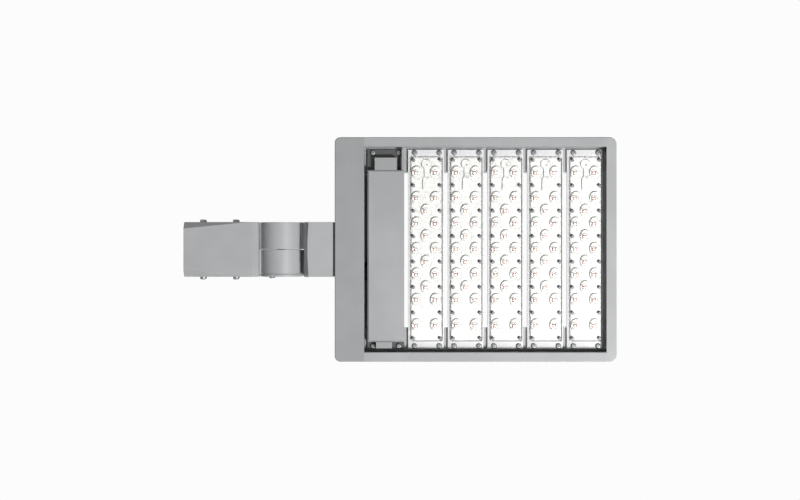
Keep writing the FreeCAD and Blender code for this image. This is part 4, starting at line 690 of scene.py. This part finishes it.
@dataclass(frozen=True)
class SocketScrew:
    """A socket-head screw: turned head, hexagon socket and plain shank, lengths in millimetres."""

    head: float
    height: float
    socket: float
    shank: float
    length: float
    steps: int = 4               # rings of the rounded edge; 1 for a plain bevel
    sides: int = 24
    shank_sides: int = 16
    brim_share: float = 0.35     # of the head's height that stands straight
    crown_share: float = 0.62    # of the head's width that is left on top
    depth_share: float = 0.6     # the socket's depth, of the head's height
    across_corners: float = 1.155   # a hexagon's, by its width across flats
    shank_lift: float = 0.001    # of the shank's length that stands inside the head
    crease: float = 32.0         # degrees between two faces above which their edge is sharp

    def shape(self, recipe: Recipe) -> NodeSocket:
        """Builds the screw at the origin, head above the ground plane and shank below it.

        Args:
            recipe: the tree, whose inputs have the head's sizes.

        Returns:
            The screw's mesh.
        """
        given = recipe.given
        height, width = given["Head Height"], given["Head Width"]
        brim = recipe.times(height, self.brim_share)
        body = recipe.add("GeometryNodeMeshCylinder", {"fill_type": "NGON"}, {
            "Vertices": self.sides, "Radius": recipe.times(width, 0.5), "Depth": brim})
        mesh = recipe.raised(body.outputs["Mesh"], recipe.times(brim, 0.5))
        top = body.outputs["Top"]
        wide, high = 1.0, self.brim_share
        for step in range(1, self.steps + 1):
            angle = math.pi / 2 * step / self.steps
            next_wide = self.crown_share + (1 - self.crown_share) * math.cos(angle)
            next_high = self.brim_share + (1 - self.brim_share) * math.sin(angle)
            rise = recipe.times(height, next_high - high)
            mesh, top = self.ring(recipe, mesh, top, rise, next_wide / wide)
            wide, high = next_wide, next_high
        across = recipe.reckon("DIVIDE", given["Socket Width"], recipe.times(width, wide))
        mesh, top = self.ring(recipe, mesh, top, 0.0, recipe.times(across, self.across_corners))
        mesh = self.hexagon(recipe, mesh, top)
        mesh, _ = self.ring(recipe, mesh, top, recipe.times(height, -self.depth_share), 1.0)
        return recipe.crisp(recipe.joined(mesh, self.stem(recipe)), self.crease)

    def stem(self, recipe: Recipe) -> NodeSocket:
        """Builds the shank below the ground plane.

        Args:
            recipe: the tree, whose inputs have the shank's sizes.

        Returns:
            The shank's mesh.
        """
        width, length = recipe.given["Shank Width"], recipe.given["Shank Length"]
        shank = recipe.add("GeometryNodeMeshCylinder", {"fill_type": "NGON"}, {
            "Vertices": self.shank_sides, "Radius": recipe.times(width, 0.5), "Depth": length})
        return recipe.raised(shank.outputs["Mesh"], recipe.times(length, self.shank_lift - 0.5))

    @staticmethod
    def ring(recipe: Recipe, mesh: NodeSocket, top: NodeSocket, rise: Any,
             scale: Any) -> tuple[NodeSocket, NodeSocket]:
        """Pulls the top face up by rise and scales it.

        Args:
            recipe: the tree.
            mesh: the mesh so far.
            top: the selection of its top face.
            rise: how far the new ring stands above the last one.
            scale: the new ring's width by the last one's.

        Returns:
            The mesh and its new top face.
        """
        pulled = recipe.add("GeometryNodeExtrudeMesh", {"mode": "FACES"}, {
            "Mesh": mesh, "Selection": top, "Offset": recipe.vector(z=1.0), "Offset Scale": rise,
            "Individual": False})
        scaled = recipe.add("GeometryNodeScaleElements", {"domain": "FACE"}, {
            "Geometry": pulled.outputs["Mesh"], "Selection": pulled.outputs["Top"],
            "Scale": scale})
        return scaled.outputs["Geometry"], pulled.outputs["Top"]

    @staticmethod
    def hexagon(recipe: Recipe, mesh: NodeSocket, top: NodeSocket) -> NodeSocket:
        """Draws the top face's round edge in to a hexagon with the same corners.

        Args:
            recipe: the tree.
            mesh: the mesh so far.
            top: the selection of its top face.

        Returns:
            The mesh with a six-sided top face.
        """
        place = recipe.add("GeometryNodeInputPosition").outputs["Position"]
        parts = recipe.add("ShaderNodeSeparateXYZ", inputs={"Vector": place}).outputs
        angle = recipe.reckon("ARCTAN2", parts["Y"], parts["X"])
        sixth = math.pi / 3
        wrapped = recipe.reckon("WRAP", angle, sixth / 2, -sixth / 2)
        from_flat = recipe.reckon("SUBTRACT", recipe.reckon("ABSOLUTE", wrapped), sixth / 2)
        share = recipe.reckon("DIVIDE", math.cos(sixth / 2), recipe.reckon("COSINE", from_flat))
        drawn = recipe.add("ShaderNodeVectorMath", {"operation": "MULTIPLY"},
                           {0: place, 1: recipe.vector(share, share, 1.0)}).outputs["Vector"]
        return recipe.add("GeometryNodeSetPosition", inputs={
            "Geometry": mesh, "Selection": top, "Position": drawn}).outputs["Geometry"]

    def settle(self, body: str, node: str, spots: list[Spot]) -> None:
        """Makes every screw of this kind as one piece that stands for its CAD node.

        Args:
            body: the CAD body that they move with.
            node: the CAD node.
            spots: where the heads' undersides are.
        """
        recipe = Recipe(f"{node}_recipe", {
            "Head Width": mm(self.head), "Head Height": mm(self.height),
            "Socket Width": mm(self.socket), "Shank Width": mm(self.shank),
            "Shank Length": mm(self.length)})
        screws = recipe.run(f"{node}_turned", stand_on_spots(recipe, self.shape(recipe)), spots,
                            STAINLESS)
        settle(screws, body, node)


# ---- sub-assemblies


@dataclass
class Housing:
    """Everything that keeps its CAD shape: castings, rails, boards, lenses, driver, rubber."""

    by_node: dict[str, Finish] = field(default_factory=lambda: NODE_FINISHES)
    by_slot: dict[str, Finish] = field(default_factory=lambda: SLOT_FINISHES)

    def dress(self) -> None:
        """Gives every CAD node its own finish, or else the finish of its material slot."""
        for name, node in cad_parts.items():
            slot = node.data.materials[0].name.split(".")[0]
            finish = self.by_node.get(name, self.by_slot[slot])
            for place in node.material_slots:
                place.link = "OBJECT"
                place.material = finish.material()
            LOG.info("%s: %s", name, finish.name)


@dataclass
class LensBars:
    """The five LED bars: finned extrusions, LED packages and their screws, in millimetres."""

    count: int = 5
    first_x: float = 337.0       # the lenses' middle line on the first bar
    pitch: float = 55.2
    width: float = 49.8
    shift: float = 1.4           # the extrusion's middle from that line, towards the pole
    half_length: float = 138.505
    fin_half_length: float = 106.0
    fin_inset: float = 5.2
    fin_count: int = 7
    fin_thickness: float = 2.0
    fin_height: float = 44.0
    fin_foot: float = 0.0025     # of the fins' height that stands inside the base
    fin_rounding: float = 0.9
    base_rounding: float = 0.4
    corner_steps: int = 3
    crease: float = 50.0         # degrees between two faces above which their edge is sharp
    board_z: float = -24.6
    plate_z: float = -27.6
    row_pitch: float = 35.33
    pair_rows: tuple[int, ...] = (-3, -2, -1, 0, 1, 2, 3)    # rows of two LEDs, in pitches
    single_rows: tuple[float, ...] = (-1.5, -0.5, 0.5, 1.5)
    screw_rows: tuple[float, ...] = (-3.5, -2.5, -1.5, -0.5, 0.5, 1.5, 2.5, 3.5)
    lens_x: float = 13.0
    led_shift: float = 1.5
    lens_screw_x: float = 18.7
    end_screw_x: float = 17.2
    end_screw_y: float = 134.305
    tray_screw_x: float = 17.85
    tile_width: float = 5.0      # the LED's ceramic tile
    tile_height: float = 0.45
    block_width: float = 2.6     # the phosphor on it
    block_height: float = 0.45
    block_taper: float = 0.8     # its top's width, by its foot's
    block_sides: int = 12
    plate_screw: SocketScrew = SocketScrew(
        head=4.8, height=1.6, socket=1.5, shank=2.5, length=8.2, sides=18)
    end_screw: SocketScrew = SocketScrew(
        head=7.6, height=2.6, socket=2.5, shank=4.0, length=8.6)

    def centres(self) -> list[float]:
        """Returns each bar's centre line along the frame."""
        return [self.first_x + self.pitch * k for k in range(self.count)]

    def build(self) -> None:
        """Builds and settles the bars, the packages and the screws."""
        for number, x in enumerate(self.centres(), start=1):
            self.extrusion(number, x)
        self.packages()
        self.plate_screws()
        self.end_screws()

    def extrusion(self, number: int, x: float) -> None:
        """Draws one finned bar: a slab and its fins, both rounded and drawn along Y.

        Args:
            number: the bar's number from the driver.
            x: its centre line.
        """
        recipe = Recipe(f"finned_bar_{number}", {
            "Bar Width": mm(self.width), "Base Thickness": mm(BASE),
            "Bar Length": mm(2 * self.half_length), "Fin Thickness": mm(self.fin_thickness),
            "Fin Height": mm(self.fin_height), "Fin Length": mm(2 * self.fin_half_length),
            "Fin Inset": mm(self.fin_inset)}, {"Fin Count": self.fin_count})
        given = recipe.given
        slab = self.drawn(recipe, given["Bar Width"], given["Base Thickness"],
                          given["Bar Length"], -0.5, self.base_rounding)
        fin = self.drawn(recipe, given["Fin Thickness"], given["Fin Height"],
                         given["Fin Length"], 0.5 - self.fin_foot, self.fin_rounding)
        inside = recipe.reckon("SUBTRACT", given["Bar Width"], recipe.times(given["Fin Inset"], 2.0))
        room = recipe.reckon("SUBTRACT", inside, given["Fin Thickness"])
        gaps = recipe.reckon("SUBTRACT", given["Fin Count"], 1.0)
        row = recipe.add("GeometryNodeMeshLine", {"mode": "OFFSET", "count_mode": "TOTAL"}, {
            "Count": given["Fin Count"],
            "Start Location": recipe.vector(x=recipe.times(room, -0.5)),
            "Offset": recipe.vector(x=recipe.reckon("DIVIDE", room, gaps))}).outputs["Mesh"]
        fins = recipe.add("GeometryNodeInstanceOnPoints",
                          inputs={"Points": row, "Instance": fin}).outputs["Instances"]
        bar = recipe.joined(slab, fins)
        placed = recipe.add("GeometryNodeInstanceOnPoints", inputs={
            "Points": given["Geometry"], "Instance": bar}).outputs["Instances"]
        piece = recipe.run(f"finned_bar_{number}", placed,
                           [Spot(x - self.shift, 0, FLANGE_Z)], SINK_COAT)
        settle(piece, "head", f"heat_sink_{number}")

    def drawn(self, recipe: Recipe, width: NodeSocket, height: NodeSocket, length: NodeSocket,
              level: float, rounding: float) -> NodeSocket:
        """Draws a rounded rectangle along Y and closes its ends.

        Args:
            recipe: the tree.
            width: the section's width.
            height: its height.
            length: how long it is drawn.
            level: its middle's height, as a share of its own height.
            rounding: the corner radius in millimetres.

        Returns:
            The closed mesh.
        """
        section = recipe.add("GeometryNodeCurvePrimitiveQuadrilateral", {"mode": "RECTANGLE"},
                             {"Width": width, "Height": height}).outputs["Curve"]
        rounded = recipe.add("GeometryNodeFilletCurve", {"mode": "POLY"}, {
            "Curve": section, "Count": self.corner_steps, "Radius": mm(rounding)}).outputs["Curve"]
        half = recipe.times(length, 0.5)
        path = recipe.add("GeometryNodeCurvePrimitiveLine", inputs={
            "Start": recipe.vector(y=recipe.times(half, -1.0)),
            "End": recipe.vector(y=half)}).outputs["Curve"]
        solid = recipe.add("GeometryNodeCurveToMesh", inputs={
            "Curve": path, "Profile Curve": rounded, "Fill Caps": True}).outputs["Mesh"]
        return recipe.crisp(recipe.raised(solid, recipe.times(height, level)), self.crease)

    def package_spots(self) -> list[Spot]:
        """Returns the LED packages' places: seven rows of pairs and four single ones a bar."""
        places = [(side * self.lens_x, row) for row in self.pair_rows for side in (-1, 1)]
        places += [(0.0, row) for row in self.single_rows]
        return [Spot(x + across - self.led_shift, row * self.row_pitch, self.board_z)
                for x in self.centres() for across, row in places]

    def packages(self) -> None:
        """Builds the LED packages: a ceramic tile with a phosphor block cast on it."""
        recipe = Recipe("led_packages", {
            "Tile Width": mm(self.tile_width), "Tile Height": mm(self.tile_height),
            "Block Width": mm(self.block_width), "Block Height": mm(self.block_height)})
        given = recipe.given
        tile = recipe.add("GeometryNodeMeshCube", inputs={"Size": recipe.vector(
            given["Tile Width"], given["Tile Width"], given["Tile Height"])}).outputs["Mesh"]
        tile = recipe.raised(tile, recipe.times(given["Tile Height"], 0.5))
        radius = recipe.times(given["Block Width"], 0.5)
        block = recipe.add("GeometryNodeMeshCone", {"fill_type": "NGON"}, {
            "Vertices": self.block_sides, "Radius Top": recipe.times(radius, self.block_taper),
            "Radius Bottom": radius, "Depth": given["Block Height"]})
        block = recipe.raised(block.outputs["Mesh"], given["Tile Height"])
        both = recipe.joined(recipe.finished(tile, LED_CERAMIC), recipe.finished(block, LED_GLOW))
        piece = recipe.run("led_packages", stand_on_spots(recipe, both), self.package_spots())
        settle(piece, "head", "led_chips")

    def plate_screws(self) -> None:
        """Builds the small screws along both edges of every lens plate."""
        spots = [Spot(x + side * self.lens_screw_x, row * self.row_pitch, self.plate_z)
                 for x in self.centres() for side in (-1, 1) for row in self.screw_rows]
        self.plate_screw.settle("head", "lens_screws", spots)

    def end_screws(self) -> None:
        """Builds the screws at the ends of every bar and of the driver tray."""
        middles = [(DRIVER_X, self.tray_screw_x)]
        middles += [(x, self.end_screw_x) for x in self.centres()]
        spots = [Spot(x + step * offset, side * self.end_screw_y, FLANGE_Z - BASE)
                 for x, offset in middles for step in (-1, 1) for side in (-1, 1)]
        self.end_screw.settle("head", "module_screws", spots)


@dataclass
class FrameFasteners:
    """The fitter's, knuckle's, frame's and driver unit's screws, in millimetres."""

    fitter_half_width: float = 38.0
    clamp_x: tuple[float, float] = (23.3, 69.4)
    knuckle_x: float = 133.2
    cover_screw_offset: float = 13.292
    lock_screw_x: float = 169.4
    rail_middle: float = 148.455
    port_z: tuple[float, float] = (-32.0, 37.0)
    rear_seat_x: float = 243.1
    front_seat_x: float = 591.7
    wireway_y: float = -137.905
    wireway_z: float = 27.2
    wireway_x: tuple[float, float] = (270.1, 564.7)
    wireway_count: int = 5
    case_screw_x: float = 17.0
    case_screw_y: float = 101.255
    clamp: SocketScrew = SocketScrew(head=10.0, height=4.2, socket=4.0, shank=6.0, length=7.2)
    cover: SocketScrew = SocketScrew(head=9.0, height=2.5, socket=2.5, shank=4.0, length=15.0)
    lock: SocketScrew = SocketScrew(head=6.0, height=1.0, socket=2.5, shank=5.0, length=11.0)
    cap: SocketScrew = SocketScrew(head=8.5, height=5.0, socket=4.0, shank=5.0, length=19.5,
                                   steps=1, brim_share=0.9, crown_share=0.94)
    lid: SocketScrew = SocketScrew(head=5.5, height=1.8, socket=2.0, shank=3.0, length=3.2)
    case: SocketScrew = SocketScrew(head=5.5, height=1.8, socket=2.0, shank=3.0, length=11.6)

    def build(self) -> None:
        """Builds and settles every kind of screw."""
        self.clamp_screws()
        self.knuckle_screws()
        self.cap_screws()
        self.wireway_screws()
        self.case_screws()

    def clamp_screws(self) -> None:
        """Builds the screws that clamp the tenon from both sides."""
        spots = [Spot(x, side * self.fitter_half_width, 0.0, facing) for x in self.clamp_x
                 for side, facing in ((-1, Facing.LEFT), (1, Facing.RIGHT))]
        self.clamp.settle("fitter", "clamp_screws", spots)

    def knuckle_screws(self) -> None:
        """Builds the knuckle cover's screw and the lock screw beside it."""
        cover_x = self.knuckle_x - self.cover_screw_offset
        for screw, body, node, x in (
                (self.cover, "fitter", "knuckle_cover_screw", cover_x),
                (self.lock, "head", "lock_screw", self.lock_screw_x)):
            screw.settle(body, node, [Spot(x, self.fitter_half_width, 0.0, Facing.RIGHT)])

    def cap_screws(self) -> None:
        """Builds the cap screws that draw both end caps onto the rails."""
        ends = ((self.rear_seat_x, Facing.POLE), (self.front_seat_x, Facing.FRONT))
        spots = [Spot(x, side * self.rail_middle, z, facing) for side in (-1, 1)
                 for z in self.port_z for x, facing in ends]
        self.cap.settle("head", "end_cap_screws", spots)

    def wireway_screws(self) -> None:
        """Builds the row of screws in the wireway's lid."""
        start, end = self.wireway_x
        step = (end - start) / (self.wireway_count - 1)
        spots = [Spot(start + step * k, self.wireway_y, self.wireway_z, Facing.UP)
                 for k in range(self.wireway_count)]
        self.lid.settle("head", "wireway_screws", spots)

    def case_screws(self) -> None:
        """Builds the screws under the tray that hold the driver case."""
        spots = [Spot(DRIVER_X + side * self.case_screw_x, step * self.case_screw_y,
                      FLANGE_Z - BASE) for side in (-1, 1) for step in (-1, 1)]
        self.case.settle("head", "case_screws", spots)


# ---- studio


@dataclass(frozen=True)
class Softbox:
    """A square area lamp that looks at the light's middle; places and sizes in metres."""

    name: str
    place: tuple[float, float, float]
    size: float
    power: float


@dataclass
class Studio:
    """The plain studio: camera below the luminaire, softboxes, world and a pale floor."""

    middle: Vector = field(default_factory=lambda: Vector((0.299, 0.0, 0.0)))
    face_z: float = -0.040
    camera_x: float = 0.2995
    camera_y: float = 0.0008
    camera_distance: float = 2.2
    lens: float = 71.74          # this and the sensor's width in millimetres
    sensor: float = 36.0
    floor_x: float = 0.3
    floor_z: float = -2.9
    floor_reach: float = 6.0
    floor_lit: str = "a0a0a0"    # the floor as the lamps and the object find it
    floor_seen: str = "f6f6f6"
    background: str = "fcfcfc"
    ambient: float = 0.05
    lamps: tuple[Softbox, ...] = (
        Softbox("key_below", (1.45, 0.95, -2.35), 0.45, 77.0),
        Softbox("fill_below", (0.2, 0.9, -2.7), 1.2, 1.6),
        Softbox("top_left", (0.2, -1.2, 2.6), 1.2, 40.0),
        Softbox("top_right", (1.2, 1.5, 2.4), 1.2, 40.0),
        Softbox("top_pole", (-1.6, 0.2, 2.0), 1.0, 20.0),
    )

    def build(self) -> None:
        """Builds the camera, the lamps, the world and the floor."""
        self.camera()
        for lamp in self.lamps:
            self.softbox(lamp)
        self.world()
        self.floor()
        bpy.context.scene.view_settings.view_transform = "Standard"
        LOG.info("studio: %d lamps, camera %.2f m below the face", len(self.lamps),
                 self.camera_distance)

    def camera(self) -> None:
        """Places the camera straight below, with the frame's front to the right."""
        data = bpy.data.cameras.new("camera")
        data.lens = self.lens
        data.sensor_width = self.sensor
        camera = bpy.data.objects.new("camera", data)
        camera.location = (self.camera_x, self.camera_y, self.face_z - self.camera_distance)
        camera.rotation_euler = Euler((math.pi, 0.0, 0.0))
        link(camera)
        bpy.context.scene.camera = camera

    def softbox(self, lamp: Softbox) -> None:
        """Hangs one softbox.

        Args:
            lamp: its place, size and power.
        """
        data = bpy.data.lights.new(lamp.name, "AREA")
        data.size = lamp.size
        data.energy = lamp.power
        data.shape = "SQUARE"
        light = bpy.data.objects.new(lamp.name, data)
        light.location = lamp.place
        aim = self.middle - Vector(lamp.place)
        light.rotation_euler = aim.to_track_quat("-Z", "Y").to_euler()
        link(light)

    @staticmethod
    def seen_directly(tree: NodeTree) -> NodeSocket:
        """Tells rays that see the backdrop, also in metal or through glass, from those that light.

        Args:
            tree: the world's or the floor's tree.

        Returns:
            A value of 1 for the rays that see it.
        """
        path = add_node(tree, "ShaderNodeLightPath").outputs
        bent = reckon(tree, "MAXIMUM", path["Is Glossy Ray"], path["Is Transmission Ray"])
        return reckon(tree, "MAXIMUM", path["Is Camera Ray"], bent)

    def world(self) -> None:
        """Makes a white backdrop that lights the object only faintly."""
        world = bpy.data.worlds.new("studio")
        bpy.context.scene.world = world
        tree = empty_tree(world)
        seen = self.seen_directly(tree)
        strength = add_node(tree, "ShaderNodeMapRange", inputs={
            "Value": seen, "To Min": self.ambient, "To Max": 1.0}).outputs["Result"]
        light = add_node(tree, "ShaderNodeBackground", inputs={
            "Color": linear(self.background), "Strength": strength})
        add_node(tree, "ShaderNodeOutputWorld", inputs={"Surface": light.outputs["Background"]})

    def floor(self) -> None:
        """Lays a plain pale floor far below the luminaire."""
        mesh = bpy.data.meshes.new("floor")
        sheet = bmesh.new()
        bmesh.ops.create_grid(sheet, x_segments=1, y_segments=1, size=self.floor_reach)
        bmesh.ops.translate(sheet, vec=(self.floor_x, 0.0, self.floor_z), verts=sheet.verts)
        sheet.to_mesh(mesh)
        sheet.free()
        floor = bpy.data.objects.new("floor", mesh)
        link(floor)
        material = bpy.data.materials.new("pale_floor")
        tree = empty_tree(material)
        matt = add_node(tree, "ShaderNodeBsdfDiffuse", inputs={"Color": linear(self.floor_lit)})
        glow = add_node(tree, "ShaderNodeEmission", inputs={"Color": linear(self.floor_seen)})
        mixed = add_node(tree, "ShaderNodeMixShader", inputs={
            0: self.seen_directly(tree), 1: matt.outputs["BSDF"], 2: glow.outputs["Emission"]})
        add_node(tree, "ShaderNodeOutputMaterial", inputs={"Surface": mixed.outputs["Shader"]})
        mesh.materials.append(material)


def main() -> None:
    """Builds every sub-assembly in order."""
    logging.basicConfig(level=logging.INFO, format="%(message)s")
    Housing().dress()
    LensBars().build()
    FrameFasteners().build()
    Studio().build()


if __name__ == "__main__":
    main()
